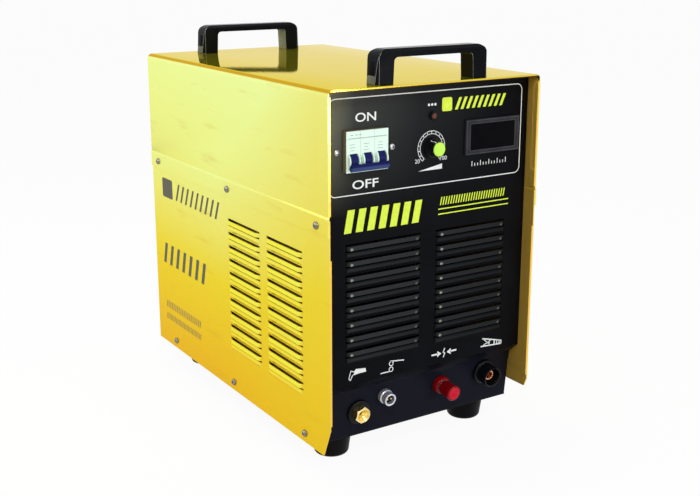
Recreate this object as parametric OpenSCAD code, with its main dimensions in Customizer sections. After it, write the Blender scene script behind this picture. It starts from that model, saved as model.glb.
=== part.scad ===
// Portable inverter plasma cutter: sheet-metal case, front controls and
// sockets, rear fan, and the power parts inside.
// X runs to the right, Y to the rear and Z up.  Z = 0 is the floor under the
// feet.  "Depth" is a distance behind the case's front edge, "drop" a distance
// below its top.  On a panel, local Z points out of the case.

/* [Case] */
// Width over the upper cover
case_w = 290; // [250:1:340]
// Length of the cover and side panels
case_d = 480; // [420:1:560]
// Height of the case without feet and handles
case_h = 414; // [390:1:460]
// Sheet thickness
sheet = 1.5; // [1:0.1:2]
// Outer bend radius of the cover's long edges
bend_r = 7; // [4:0.5:12]
// Depth of the folded hem round the front and rear edges
hem_d = 8; // [5:0.5:10]
// How far the front panel sits behind the cover's edge
front_recess = 18; // [14:0.5:26]
// How far the rear panel sits inside the cover's edge
rear_recess = 12; // [10:0.5:20]
// Gap between a panel's edge and the wall beside it
edge_gap = 0.3; // [0.2:0.05:0.6]
// Depth of the folded-back flanges of the front and rear panels
flange_d = 18; // [12:1:20]

/* [Cover lap] */
// Drop of the joggle line where the cover's skirt steps out
joggle_drop = 135; // [110:1:150]
// Height of the lap band below the joggle line
lap_h = 22; // [18:0.5:30]
// How far the lap band stands out
joggle = 0.8; // [0.5:0.1:1.2]
// Height over which the skirt steps out
joggle_run = 3; // [2:0.5:5]
// Distance of the lap screws above the lap's lower edge
lap_screw_up = 9.5; // [7:0.5:12]
// Distance of the end lap screws from the case's ends
lap_screw_end = 24.5; // [22:0.5:30]

/* [Side panels] */
// Depth of the first bottom screw
low_screw_depth = 56; // [50:1:80]
// Distance of the last bottom screw from the rear edge
low_screw_rear = 60; // [50:1:80]
// Height of the bottom screws above the panel's lower edge
low_screw_up = 11; // [9:0.5:20]
// Length of the chamfer at the front lower corner
chamfer_d = 14.5; // [5:0.5:20]
// Height of the chamfer at the front lower corner
chamfer_h = 35; // [20:1:45]
// Length of the cable notch in the right panel's front lower corner
notch_d = 45; // [20:1:48]
// Height of the cable notch in the right panel
notch_h = 24; // [5:1:30]

/* [Louvres] */
// Pitch of the front louvres
louvre_pitch = 17.6; // [16:0.1:20]
// Open slot above each raised strip
louvre_slot = 2; // [1.5:0.1:2.6]
// Height of the raised strip
louvre_strip = 5; // [4:0.1:6]
// Slit below the raised strip
louvre_slit = 2.2; // [1.5:0.1:2.8]
// Height of the pressed rib below the slit
louvre_rib = 7.2; // [5:0.1:7.4]
// How far the strips stand out
louvre_out = 3; // [2:0.1:4]
// How far the ribs stand out
rib_out = 1.8; // [1:0.1:2.5]
// Length of the sloping ends of the strips and ribs
louvre_ramp = 6; // [4:0.5:9]
// Pitch of the side louvres
side_louvre_pitch = 17.4; // [16.6:0.1:20]
// Louvres in each front bank
front_louvres = 8; // [4:1:8]
// Length of the front louvres
front_louvre_w = 102; // [80:1:108]
// Distance between the centres of the front banks
front_bank_pitch = 123.6; // [114:0.2:130]
// Drop of the first front louvre
front_louvre_drop = 173; // [168:0.5:180]
// Louvres in each side bank
side_louvres = 10; // [5:1:11]
// Length of the side louvres
side_louvre_w = 83; // [60:1:90]
// Depth of the middle of the front side bank
side_bank_depth = 100; // [92:1:110]
// Distance between the centres of the side banks
side_bank_pitch = 101; // [96:1:130]
// Drop of the first side louvre
side_louvre_drop = 185; // [170:0.5:192]

/* [Front panel] */
// Drop of the fold below the louvres
fold_drop = 339; // [328:0.5:345]
// How far the shoulder below the fold runs back
shoulder_d = 16; // [10:0.5:24]
// How far the shoulder drops
shoulder_h = 14; // [8:0.5:18]
// Lean of the connector panel
lean = 6; // [0:0.5:10]

/* [Handles] */
// Width of a handle at its base
handle_w = 153; // [130:1:180]
// Width of a handle at its top
handle_top_w = 146; // [124:1:170]
// Height of a handle
handle_h = 38; // [32:0.5:50]
// Depth of a handle, front to back
handle_d = 22.5; // [22:0.5:26]
// Width of a handle's leg at its base
handle_leg = 22; // [18:0.5:28]
// Height of the finger gap
grip_h = 29; // [24:0.5:36]
// Outer corner radius
handle_r = 13; // [8:0.5:16]
// Corner radius of the finger gap
grip_r = 5; // [3:0.5:8]
// Bevel along the edges of a handle
handle_bevel = 3.6; // [1:0.1:4]
// Distance of the handle bolts behind the handle's middle
handle_bolt_back = 5.8; // [5.6:0.1:6.2]
// Sideways offset of both handles from the middle of the case
handle_x = -4; // [-10:0.5:10]
// Depth of the front handle's front face
front_handle_depth = 7; // [7:0.5:40]
// Distance of the rear handle's back face from the case's rear edge
rear_handle_in = 22; // [10:0.5:60]

/* [Feet] */
// Height of the rubber feet
foot_h = 28; // [20:1:40]
// Radius of a foot at its top
foot_top_r = 24; // [18:0.5:26]
// Radius of a foot at its bottom
foot_low_r = 21; // [15:0.5:23]
// Rounding of a foot's lower edge
foot_edge_r = 5; // [1:0.5:6]
// Distance of the feet from the case's sides
foot_inset_x = 45; // [42:1:70]
// Depth of the front feet's centre
foot_depth = 70; // [68:1:90]
// Distance of the rear feet's centre from the rear edge
foot_rear_in = 60; // [45:1:90]

/* [Fasteners] */
// Radius of the case screws' shanks
screw_r = 2; // [1.5:0.1:2.2]
// Radius of the case screws' heads
screw_head_r = 4.4; // [3.2:0.1:5]
// Height of the case screws' heads
screw_head_h = 3; // [1.5:0.1:3.4]
// Length of the case screws below the head
screw_len = 8; // [6.5:0.5:12]
// Radius of the handle and foot bolts' shanks
bolt_r = 2.5; // [2:0.1:3]
// Radius of the handle and foot bolts' heads
bolt_head_r = 4.2; // [3.8:0.1:4.4]
// Height of the handle and foot bolts' heads
bolt_head_h = 3; // [2:0.1:4]
// Running gap round a screw in its tapped hole
tap_gap = 0.05; // [0.02:0.01:0.1]
// Gap round a bolt in its clearance hole
hole_gap = 0.3; // [0.2:0.05:0.6]

/* [Breaker] */
// Width of the three-pole breaker
breaker_w = 54; // [50:1:58]
// Height of the breaker's front face
breaker_face_h = 45; // [42:0.5:48]
// Height of the breaker behind the panel
breaker_h = 82; // [70:1:90]
// Depth of the breaker behind the panel
breaker_d = 50; // [40:1:60]
// How far the face stands out of the panel
breaker_out = 6; // [3:0.5:9]
// Sideways place of the breaker's middle
breaker_x = -88; // [-96:0.5:-84]
// Drop of the breaker's middle
breaker_drop = 69.5; // [66:0.5:74]
// Gap between the breaker and its window
window_gap = 0.9; // [0.4:0.1:1.5]
// Spacing of the bracket's screws
bracket_pitch = 71.6; // [68:0.2:78]
// Distance of the toggles' axis below the breaker's middle
toggle_low = 10; // [6:0.5:11]
// Radius of the toggles' barrels
toggle_r = 9.5; // [9:0.1:10]
// Width of each toggle
toggle_w = 9; // [8:0.5:10]
// Distance of the toggles' axis behind the face
toggle_in = 6; // [5.5:0.1:6.5]
// Distance of the tie bar's middle from the toggles' axis
bar_reach = 12.8; // [12.5:0.1:14]
// Length of the tie bar
bar_len = 49; // [44:1:50]
// Height of the tie bar
bar_h = 7; // [6:0.5:7.5]
// Thickness of the tie bar
bar_t = 4.5; // [3.5:0.5:4.5]
// Angle of the toggles below the horizontal when off
toggle_off = 32; // [25:1:34]
// Radius of the toggles' pivot pin
pivot_r = 1.5; // [1:0.1:2]
// Running gap round the toggles
toggle_gap = 0.5; // [0.3:0.1:0.8]

/* [Current control] */
// Sideways place of the current knob
knob_x = 2; // [-4:0.5:8]
// Drop of the current knob's axis
knob_drop = 75.7; // [72:0.1:80]
// Radius of the knob's skirt
knob_skirt_r = 11; // [9:0.5:12]
// Radius of the knob's body
knob_r = 8.5; // [7.5:0.1:9]
// Height of the knob
knob_h = 11.5; // [9:0.5:16]
// Distance of the knob's back from the panel
knob_off = 3.2; // [2.8:0.1:4]
// Height of the coloured cap above the knob
cap_h = 1; // [0.6:0.1:2]
// Angle of the pointer left of twelve o'clock
knob_rest = 30; // [0:1:90]
// Radius of the control's shaft
shaft_r = 3; // [2.5:0.1:3.2]
// Radius of the control's threaded bush
bush_r = 4.6; // [4.2:0.1:5]
// Radius of the control's case
pot_r = 12; // [8:0.5:14]
// Depth of the control's case
pot_d = 10; // [7:0.5:14]

/* [Lamp and meter] */
// Drop of the warning lamp
lamp_drop = 39.4; // [34:0.2:44]
// Radius of the lamp's bezel
lamp_bezel_r = 5; // [4.4:0.1:6]
// How far the lamp's bezel stands out
lamp_out = 4.5; // [2:0.1:7]
// Radius of the lamp's lens
lamp_r = 3.2; // [2.5:0.1:3.4]
// Sideways place of the meter's middle
meter_x = 88.3; // [86:0.1:92]
// Drop of the meter's middle
meter_drop = 69; // [64:0.5:74]
// Width of the meter's bezel
meter_w = 79; // [72:0.5:84]
// Height of the meter's bezel
meter_h = 41; // [38:0.5:44]
// Thickness of the meter's bezel
meter_out = 3.5; // [2:0.5:5]
// Width of the meter's window
meter_window_w = 65.5; // [60:0.5:70]
// Height of the meter's window
meter_window_h = 30; // [24:0.5:32]
// Depth of the meter's housing behind the panel
meter_d = 26; // [18:1:40]

/* [Torch fitting] */
// Sideways place of the torch fitting
torch_x = -83.5; // [-96:0.5:-76]
// Distance of the torch fitting below the shoulder, along the panel
torch_drop = 30; // [26:0.5:36]
// Radius of the insulating flange
torch_flange_r = 14.8; // [12:0.1:16]
// Thickness of the insulating flange
torch_flange_t = 4; // [3:0.5:6]
// Radius of the insulating sleeve
torch_sleeve_r = 10.8; // [9.5:0.1:11.5]
// Radius of the brass barrel
torch_barrel_r = 7.5; // [6:0.1:8]
// Size of the brass hexagon across its flats
torch_hex = 18.5; // [17:0.5:20]
// Length of the brass hexagon
torch_hex_l = 9; // [6:0.5:14]
// Radius of the gas bore
torch_bore_r = 2.5; // [1.5:0.1:3.5]
// Radius of the cone seat's mouth
torch_cone_r = 7.6; // [5:0.1:7.8]

/* [Control socket] */
// Sideways place of the control socket
control_x = -47.5; // [-56:0.5:-42]
// Distance of the control socket below the shoulder
control_drop = 17.5; // [16:0.5:30]
// Radius of the control socket's collar
control_collar_r = 9; // [8.2:0.1:10.5]
// Radius of the control socket's nose
control_nose_r = 7.7; // [7:0.1:8.5]
// Radius of the control socket's bore
control_bore_r = 5.6; // [5:0.1:6.3]
// How far the control socket stands out
control_out = 14; // [10:0.5:18]
// Depth of the plug's space in front of the insert
control_well = 4.5; // [4.2:0.1:6]

/* [Pilot terminal] */
// Sideways place of the pilot terminal
pilot_x = 35; // [28:0.5:44]
// Distance of the pilot terminal below the shoulder
pilot_drop = 21.5; // [20:0.5:32]
// Radius of the fixed collar
pilot_collar_r = 11.2; // [10:0.1:12]
// Length of the fixed collar
pilot_collar_l = 8.5; // [6:0.5:12]
// Radius of the screw cap
pilot_cap_r = 9.6; // [8:0.1:10]
// Length of the screw cap
pilot_cap_l = 20; // [15:0.5:22]
// Radius of the terminal's stud
pilot_stud_r = 3; // [2.5:0.1:3.5]
// Thickness of the clamping washer
pilot_washer_t = 1; // [0.8:0.1:1.5]

/* [Work lead socket] */
// Sideways place of the work lead socket
work_x = 101.7; // [94:0.5:108]
// Distance of the work lead socket below the shoulder
work_drop = 19; // [18:0.5:30]
// Radius of the socket's flange
work_flange_r = 15.5; // [14:0.1:17]
// Thickness of the socket's flange
work_flange_t = 5; // [3:0.5:8]
// Radius of the socket's nose
work_nose_r = 12.8; // [11.8:0.1:13.5]
// How far the socket stands out
work_out = 21; // [16:0.5:26]
// Radius of the plug's space in the nose
work_well_r = 10.8; // [9:0.1:10.9]
// Outer radius of the contact sleeve
work_contact_r = 6.4; // [5.6:0.1:7]
// Radius of the contact's bore
work_bore_r = 4.5; // [4:0.1:5]
// Depth of the contact's bore
work_bore_l = 22; // [16:0.5:26]
// How far the contact is set back inside the nose
work_contact_in = 7; // [3:0.5:9]

/* [Fan] */
// Size of the fan's square frame
fan_w = 120; // [110:1:130]
// Depth of the fan's frame
fan_d = 38; // [30:1:45]
// Height of the fan's middle above the case's floor
fan_up = 255; // [180:1:300]
// Spacing of the fan's screws
fan_pitch = 105; // [96:0.5:110]
// Radius of the fan's duct
duct_r = 57; // [50:0.5:57]
// Radius of the impeller's hub
hub_r = 20; // [16:0.5:24]
// Gap between the blades' tips and the duct
tip_gap = 1.5; // [1:0.1:3]
// Number of blades
blades = 7; // [5:1:9]
// Pitch angle of the blades
blade_pitch = 38; // [30:1:45]
// Thickness of the blades
blade_t = 1.6; // [1.2:0.1:2.4]
// Radius of the impeller's shaft
fan_shaft_r = 2; // [1.5:0.1:3]
// Radius of the guard's wires
wire_r = 1.1; // [0.8:0.1:1.5]
// Number of rings in the guard
guard_rings = 6; // [4:1:7]

/* [Rear fittings] */
// Sideways place of the mains gland
gland_x = 92; // [80:1:100]
// Height of the mains gland and air inlet above the case's floor
rear_fit_up = 62; // [52:1:80]
// Radius of the cable's way through the gland
gland_bore_r = 8.5; // [7:0.1:9]
// Radius of the gland's thread
gland_thread_r = 12.5; // [11:0.1:14]
// How far the gland stands out
gland_out = 28; // [24:0.5:32]
// Sideways place of the air inlet
inlet_x = -92; // [-100:1:-80]
// Radius of the hose barb on the air inlet
barb_r = 4.5; // [4:0.1:5]
// Length of the hose barb on the air inlet
barb_l = 17; // [14:0.5:18]
// Sideways place of the earth stud
earth_x = -34; // [-44:1:-24]
// Height of the earth stud above the case's floor
earth_up = 40; // [36:1:60]
// Radius of the earth stud
earth_r = 4; // [3:0.5:4]
// Length of the earth stud outside the panel
earth_out = 22; // [18:0.5:26]

/* [Inside] */
// Height of the shelf above the case's floor
shelf_up = 150; // [140:1:160]
// Width of the shelf
shelf_w = 210; // [190:1:220]
// Distance of the shelf's rear edge from the case's rear edge
shelf_rear = 84; // [82:1:90]
// Depth of the shelf's front edge
shelf_depth = 96; // [92:1:100]
// Distance of the heat sinks from the shelf's front edge
sink_front = 30; // [26:1:40]
// Distance of the heat sinks from the shelf's rear edge
sink_rear = 70; // [60:1:80]
// Width of a heat sink
sink_w = 92; // [80:1:94]
// Height of a heat sink
sink_h = 55; // [48:1:60]
// Number of fins on a heat sink
fins = 12; // [8:1:14]
// Thickness of the circuit boards
board_t = 1.6; // [1:0.1:2]

/* [Hidden] */
$fn = 48;
eps = 0.5;

// Overall frame.
rear_out = gland_out - rear_recess;
front_y = -(case_d + rear_out) / 2;
top_z = foot_h + case_h;
floor_z = foot_h + sheet;
function depth(d) = front_y + d;
function drop(d) = top_z - d;

// Walls: the cover's skirt, its lap band and the side panels inside it.
cover_in = case_w / 2 - sheet;
lap_out = case_w / 2 + joggle;
side_out = lap_out - sheet;
side_in = side_out - sheet;
panel_half = side_in - edge_gap;
panel_r = bend_r - sheet;
side_top_drop = joggle_drop + joggle_run + edge_gap;
lap_screw_drop = joggle_drop + lap_h - lap_screw_up;
lap_screw_depths = [lap_screw_end, case_d / 2, case_d - lap_screw_end];
low_screw_depths = [low_screw_depth, (low_screw_depth + case_d - low_screw_rear) / 2,
                    case_d - low_screw_rear];
low_screw_z = foot_h + low_screw_up;

// Front panel section: upper panel, shoulder and leaning connector panel.
lower_depth = front_recess + shoulder_d;
lower_drop = fold_drop + shoulder_h;
lower_rise = case_h - sheet - lower_drop;
lower_end = lower_depth + lower_rise * tan(lean);
rear_face = case_d - rear_recess;

// Handles.
handle_flare = atan((handle_w - handle_top_w) / 2 / handle_h);
handle_bolt_x = (handle_w - handle_leg) / 2;
rear_handle_depth = case_d - rear_handle_in - handle_d;
handle_tap_l = 12;

// Rubber left above the recess of a foot's bolt.
foot_web = 10;

// Breaker.
poles = 3;
pole_w = breaker_w / poles;
arm_t = 4.5;
arm_w = toggle_w - 1;
window_w = breaker_w + 2 * window_gap;
window_h = breaker_face_h + 2 * window_gap;
bracket_w = bracket_pitch + 14;
bracket_t = 1.5;
ear_l = (bracket_w - breaker_w) / 2 - edge_gap;

// Current control.
bush_l = 2.8;
nut_t = 2;
cap_r = knob_r - 0.5;
shaft_l = 13;

// Sockets.
torch_hole_r = torch_sleeve_r + hole_gap;
torch_sleeve_l = 9;
torch_nut_t = 5;
torch_nut_hex = 22;
control_barrel_r = control_bore_r + 0.9;
control_nut_t = 3.5;
control_pin_l = 1.5;
pilot_hole_r = 5;
pilot_cap_rest = pilot_collar_l + pilot_washer_t;
work_neck_r = 10.5;
work_nut_t = 6;
work_nut_hex = 30;
work_body_in = 20;

// Fan.
fan_z = foot_h + fan_up;
fan_back = rear_face - sheet;
blade_r = duct_r - tip_gap;
impeller_d = fan_d - 14;
motor_d = 9;
fan_corner = 12;
fan_rim = 4;
impeller_z = -fan_d + motor_d + 0.5;
fan_screw_r = 2.1;
spoke_z = wire_r + 0.2;
lug_t = 2 * wire_r + 0.6;

// Rear fittings.
gland_flange_t = 5;
gland_thread_l = 8;
gland_hex = 34;
gland_cap_l = gland_out - gland_flange_t;
inlet_hex = 17;
inlet_hex_l = 8;
inlet_thread_r = 6.5;
inlet_back = 16;
inlet_bore_r = 2.5;
earth_hex = 13;
earth_nut_t = 6.5;

// Inside.
shelf_z = foot_h + shelf_up;
shelf_d = case_d - shelf_rear - shelf_depth;
sink_d = shelf_d - sink_front - sink_rear;
sink_gap = 6;
sink_base = 7;
fin_t = 1.8;
board_over = 8;
post_h = 12;
post_r = 3.5;
post_in = 10;
board_z = shelf_z + sink_h + post_h;
capacitor_r = 17.5;
capacitor_h = 48;
capacitor_x = 46;
capacitor_in = 54;
control_board_w = 120;
control_board_h = 60;
control_board_in = 18;
plug_w = 10;
plug_d = 6;
plug_h = 8;
plug_x = 40;
core_w = 96;
core_h = 80;
core_d = 44;
core_limb = 24;
core_yoke = 12;
core_depth = 210;
winding_wall = 9;
choke_r = 28;
choke_tube_r = 12;
choke_depth = 330;
valve_w = 34;
valve_in = 22;
valve_h = 30;
valve_d = 50;
valve_depth = 300;
coil_r = 13;
coil_h = 32;
hose_r = 4.5;
hose_lead = 25;
hose_drop = 60;
hose_bend = 30;
hose_tail = 24;
starter_w = 70;
starter_h = 44;
starter_d = 60;
starter_depth = 110;
starter_x = 10;
starter_coil_r = 14;
starter_coil_h = 26;

yellow = [0.95, 0.79, 0.18];
panel_black = [0.09, 0.09, 0.10];
plastic_black = [0.06, 0.06, 0.07];
steel = [0.70, 0.71, 0.73];
brass = [0.80, 0.62, 0.26];
terminal_red = [0.75, 0.06, 0.08];

// ---------- placing ----------

// Local frame on the upper front panel: Z out of the case, Y up.
module on_front(x, d) {
    translate([x, depth(front_recess), drop(d)]) rotate([90, 0, 0]) children();
}

// Local frame on the leaning connector panel; d runs down along the panel.
module on_lower(x, d) {
    translate([x, depth(lower_depth), drop(lower_drop)])
        rotate([lean, 0, 0]) translate([0, 0, -d]) rotate([90, 0, 0]) children();
}

// Local frame on the rear panel: Z out of the case to the rear, Y down.
module on_rear(x, up) {
    translate([x, depth(rear_face), foot_h + up]) rotate([-90, 0, 0]) children();
}

// Local frame on a side panel: Z outwards, Y up, X along the wall.
// side is -1 for the left wall and 1 for the right one.
module on_side(side, d, z, out) {
    translate([side * out, depth(d), z]) rotate([90, 0, side * 90]) children();
}

// ---------- shared shapes ----------

module rod(r, from, to) {
    translate([0, 0, from]) cylinder(r = r, h = to - from);
}

module hexagon(flats, from, to) {
    translate([0, 0, from]) cylinder(r = flats / 2 / cos(30), h = to - from, $fn = 6);
}

module tube(outer, inner, from, to) {
    difference() {
        rod(outer, from, to);
        rod(inner, from - eps, to + eps);
    }
}

module nut(flats, bore, from, to) {
    difference() {
        hexagon(flats, from, to);
        rod(bore, from - eps, to + eps);
    }
}

// Screw along Z with its head's seat at z = 0 and its shank below.
module screw(r, head_r, head_h, len) {
    rod(r, -len, 0.01);
    rotate_extrude() polygon([[0, 0], [head_r, 0], [head_r, head_h * 0.5],
                              [head_r * 0.78, head_h * 0.88], [head_r * 0.4, head_h], [0, head_h]]);
}

// Outline of a box end whose two upper corners are round; its top is at y = 0.
module rounded_end(half, r, height) {
    translate([-half, -height]) square([2 * half, height - r]);
    translate([-half + r, -height]) square([2 * (half - r), height]);
    for (s = [-1, 1]) translate([s * (half - r), -r]) circle(r);
}

// Standing outline, extruded towards the rear from depth d.
module standing(d, thick) {
    translate([0, depth(d) + thick, 0]) rotate([90, 0, 0]) linear_extrude(thick) children();
}

// ---------- louvres ----------

// Cut-outs behind a bank of louvres whose first slot starts at y = 0.
module louvre_holes(len, count, pitch) {
    high = louvre_slot + louvre_strip + louvre_slit;
    for (i = [0:count - 1])
        translate([-len / 2, -i * pitch - high, -2 * sheet]) cube([len, high, 3 * sheet]);
}

// One raised strip, cut free along both long edges and sloping in at its ends.
module louvre_bridge(len) {
    a = len / 2;
    b = a - louvre_ramp;
    translate([0, -louvre_slot, 0]) rotate([90, 0, 0]) linear_extrude(louvre_strip)
        polygon([[-a - eps, -sheet], [-a, -sheet], [-b, louvre_out - sheet], [b, louvre_out - sheet],
                 [a, -sheet], [a + eps, -sheet], [a + eps, 0], [a, 0], [b, louvre_out],
                 [-b, louvre_out], [-a, 0], [-a - eps, 0]]);
}

// One pressed rib below the slit.
module louvre_ridge(len) {
    a = len / 2;
    b = a - louvre_ramp * 0.7;
    y0 = -louvre_slot - louvre_strip - louvre_slit;
    intersection() {
        rotate([90, 0, 90]) linear_extrude(2 * a, center = true)
            polygon([[y0, -sheet / 2], [y0, rib_out * 0.35], [y0 - louvre_rib * 0.45, rib_out],
                     [y0 - louvre_rib, 0], [y0 - louvre_rib, -sheet / 2]]);
        rotate([90, 0, 0]) linear_extrude(2 * louvre_pitch)
            polygon([[-a, -sheet], [-a, 0], [-b, rib_out + eps], [b, rib_out + eps], [a, 0], [a, -sheet]]);
    }
}

module louvre_bank(len, count, pitch) {
    for (i = [0:count - 1]) translate([0, -i * pitch, 0]) {
        louvre_bridge(len);
        louvre_ridge(len);
    }
}

// ---------- case ----------

module base_tray() color(panel_black) difference() {
    union() {
        translate([-side_in, depth(lower_end), foot_h])
            cube([2 * side_in, rear_face - lower_end, sheet]);
        for (s = [-1, 1])
            translate([s * (side_in - sheet / 2) - sheet / 2, depth(lower_end + sheet + 4), foot_h])
                cube([sheet, rear_face - lower_end - 2 * sheet - 8 - flange_d, 2 * low_screw_up + 4]);
    }
    for (s = [-1, 1]) {
        for (d = low_screw_depths) on_side(s, d, low_screw_z, side_in)
            rod(screw_r + tap_gap, -2 * sheet, sheet);
    }
    for (p = foot_places()) translate([p[0], p[1], 0]) rod(bolt_r + hole_gap, foot_h - 1, floor_z + 1);
}

function foot_places() = [for (s = [-1, 1]) for (d = [foot_depth, case_d - foot_rear_in])
    [s * (case_w / 2 - foot_inset_x), depth(d)]];

// Outer face of the front panel as depth and height points.
function panel_line() = [
    [depth(front_recess), drop(sheet + edge_gap)], [depth(front_recess), drop(fold_drop)],
    [depth(lower_depth), drop(lower_drop)], [depth(lower_end), floor_z]];

module front_sheet_blank() {
    p = panel_line();
    slope = atan(shoulder_h / shoulder_d);
    bend = sheet * tan((90 - slope) / 2);
    low_bend = sheet * tan((90 - slope - lean) / 2);
    rotate([90, 0, 90]) linear_extrude(2 * panel_half, center = true)
        polygon([p[0], p[1], p[2], p[3], [p[3][0] + sheet / cos(lean), p[3][1]],
                 [p[2][0] + sheet * cos(lean) - low_bend * sin(lean),
                  p[2][1] + sheet * sin(lean) + low_bend * cos(lean)],
                 [p[1][0] + sheet, p[1][1] + bend], [p[0][0] + sheet, p[0][1]]]);
}

module front_panel() color(panel_black) {
    difference() {
        intersection() {
            front_sheet_blank();
            standing(0, 2 * lower_end)
                translate([0, drop(sheet + edge_gap)]) rounded_end(panel_half, panel_r, case_h);
        }
        on_front(breaker_x, breaker_drop) {
            translate([-window_w / 2, -window_h / 2, -2 * sheet]) cube([window_w, window_h, 4 * sheet]);
            for (s = [-1, 1]) translate([s * bracket_pitch / 2, 0, 0])
                rod(screw_r + hole_gap, -2 * sheet, sheet);
        }
        on_front(knob_x, knob_drop) rod(bush_r + hole_gap, -2 * sheet, sheet);
        on_front(knob_x, lamp_drop) rod(lamp_r + 0.8 + hole_gap, -2 * sheet, sheet);
        on_front(meter_x, meter_drop)
            translate([-meter_w / 2 + 2, -meter_h / 2 + 1.5, -2 * sheet])
                cube([meter_w - 4, meter_h - 3, 4 * sheet]);
        for (s = [-1, 1]) on_front(s * front_bank_pitch / 2, front_louvre_drop)
            louvre_holes(front_louvre_w, front_louvres, louvre_pitch);
        on_lower(torch_x, torch_drop) rod(torch_hole_r, -3 * sheet, 2 * sheet);
        on_lower(control_x, control_drop) rod(control_barrel_r + hole_gap, -3 * sheet, 2 * sheet);
        on_lower(pilot_x, pilot_drop) rod(pilot_hole_r + hole_gap, -3 * sheet, 2 * sheet);
        on_lower(work_x, work_drop) rod(work_neck_r + hole_gap, -3 * sheet, 2 * sheet);
    }
    for (s = [-1, 1]) {
        on_front(s * front_bank_pitch / 2, front_louvre_drop)
            louvre_bank(front_louvre_w, front_louvres, louvre_pitch);
        panel_flange(s, front_recess + sheet / 2, flange_d);
    }
}

// Folded-back side flange of the front or rear panel, tapped for the end lap screw.
module panel_flange(side, from, len) {
    difference() {
        translate([side * (panel_half - sheet / 2) - sheet / 2, depth(from), drop(fold_drop - 6)])
            cube([sheet, len, fold_drop - 6 - 2 * bend_r]);
        for (d = lap_screw_depths) on_side(side, d, drop(lap_screw_drop), panel_half)
            rod(screw_r + tap_gap, -2 * sheet, sheet);
    }
}

module rear_panel() color(panel_black) {
    difference() {
        standing(fan_back, sheet) translate([0, drop(sheet + edge_gap)])
            rounded_end(panel_half, panel_r, case_h - 2 * sheet - edge_gap);
        on_rear(0, fan_up) {
            rod(duct_r, -2 * sheet, sheet);
            for (x = [-1, 1]) for (y = [-1, 1]) translate([x * fan_pitch / 2, y * fan_pitch / 2, 0])
                rod(fan_screw_r + hole_gap, -2 * sheet, sheet);
        }
        on_rear(gland_x, rear_fit_up) rod(gland_thread_r + hole_gap, -2 * sheet, sheet);
        on_rear(inlet_x, rear_fit_up) rod(inlet_thread_r + hole_gap, -2 * sheet, sheet);
        on_rear(earth_x, earth_up) rod(earth_r + hole_gap, -2 * sheet, sheet);
    }
    for (s = [-1, 1]) panel_flange(s, fan_back - flange_d + sheet / 2, flange_d);
}

// Inverted U with a hem at each end and skirts that step out over the side panels.
module top_cover() color(yellow) {
    step = joggle_drop + joggle_run;
    difference() {
        union() {
            standing(0, case_d) difference() {
                translate([0, drop(0)]) rounded_end(case_w / 2, bend_r, joggle_drop);
                translate([0, drop(sheet)]) rounded_end(cover_in, panel_r, joggle_drop);
            }
            for (s = [-1, 1]) standing(0, case_d) scale_side(s)
                polygon([[cover_in, drop(joggle_drop)], [case_w / 2, drop(joggle_drop)],
                         [lap_out, drop(step)], [lap_out, drop(joggle_drop + lap_h)],
                         [side_out, drop(joggle_drop + lap_h)], [side_out, drop(step)]]);
            for (d = [0, case_d - hem_d]) standing(d, hem_d) difference() {
                translate([0, drop(sheet)]) rounded_end(cover_in, panel_r, joggle_drop - 2 * sheet);
                translate([0, drop(2 * sheet)]) rounded_end(cover_in - sheet, panel_r - sheet, joggle_drop);
            }
        }
        for (s = [-1, 1]) for (d = lap_screw_depths) on_side(s, d, drop(lap_screw_drop), lap_out)
            rod(screw_r + hole_gap, -sheet - 0.2, sheet);
        for (p = handle_bolt_places()) translate([p[0], p[1], 0])
            rod(bolt_r + hole_gap, drop(2 * sheet), drop(-sheet));
    }
}

// Mirrors an outline to the left for side -1.
module scale_side(side) {
    if (side < 0) mirror([1, 0]) children();
    else children();
}

function handle_bolt_places() = [for (s = [-1, 1]) for (d = [front_handle_depth, rear_handle_depth])
    [handle_x + s * handle_bolt_x, depth(d + handle_d / 2 + handle_bolt_back)]];

// Side wall with two banks of louvres; notch is the height cut from its front lower corner.
module side_panel(side, notch) {
    wall_h = case_h - side_top_drop;
    middle = side_bank_depth + side_bank_pitch / 2;
    bank_up = case_h - side_louvre_drop;
    difference() {
        on_side(side, 0, foot_h, side_out) scale_side(side)
            translate([0, 0, -sheet]) linear_extrude(sheet) difference() {
                square([case_d, wall_h]);
                polygon([[-eps, -eps], [chamfer_d, -eps], [chamfer_d, 0], [0, chamfer_h], [-eps, chamfer_h]]);
                translate([-eps, -eps]) square([notch_d + eps, notch + eps]);
            }
        for (d = lap_screw_depths) on_side(side, d, drop(lap_screw_drop), side_out)
            rod(screw_r + tap_gap, -2 * sheet, sheet);
        for (d = low_screw_depths) on_side(side, d, low_screw_z, side_out)
            rod(screw_r + hole_gap, -2 * sheet, sheet);
        for (b = [-0.5, 0.5]) on_side(side, middle + b * side_bank_pitch, foot_h + bank_up, side_out)
            louvre_holes(side_louvre_w, side_louvres, side_louvre_pitch);
    }
    for (b = [-0.5, 0.5]) on_side(side, middle + b * side_bank_pitch, foot_h + bank_up, side_out)
        louvre_bank(side_louvre_w, side_louvres, side_louvre_pitch);
    for (d = [0, case_d - hem_d])
        translate([side * (side_in - sheet / 2) - sheet / 2, depth(d), foot_h + chamfer_h + 5])
            cube([sheet, hem_d, wall_h - chamfer_h - 5 - 2 * lap_h]);
}

module left_side_panel() color(yellow) side_panel(-1, 0);

module right_side_panel() color(yellow) side_panel(1, notch_h);

module case_screws() color(steel) for (s = [-1, 1]) {
    for (d = lap_screw_depths) on_side(s, d, drop(lap_screw_drop), lap_out)
        screw(screw_r, screw_head_r, screw_head_h, screw_len);
    for (d = low_screw_depths) on_side(s, d, low_screw_z, side_out)
        screw(screw_r, screw_head_r, screw_head_h, screw_len);
}

// ---------- handles and feet ----------

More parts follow.
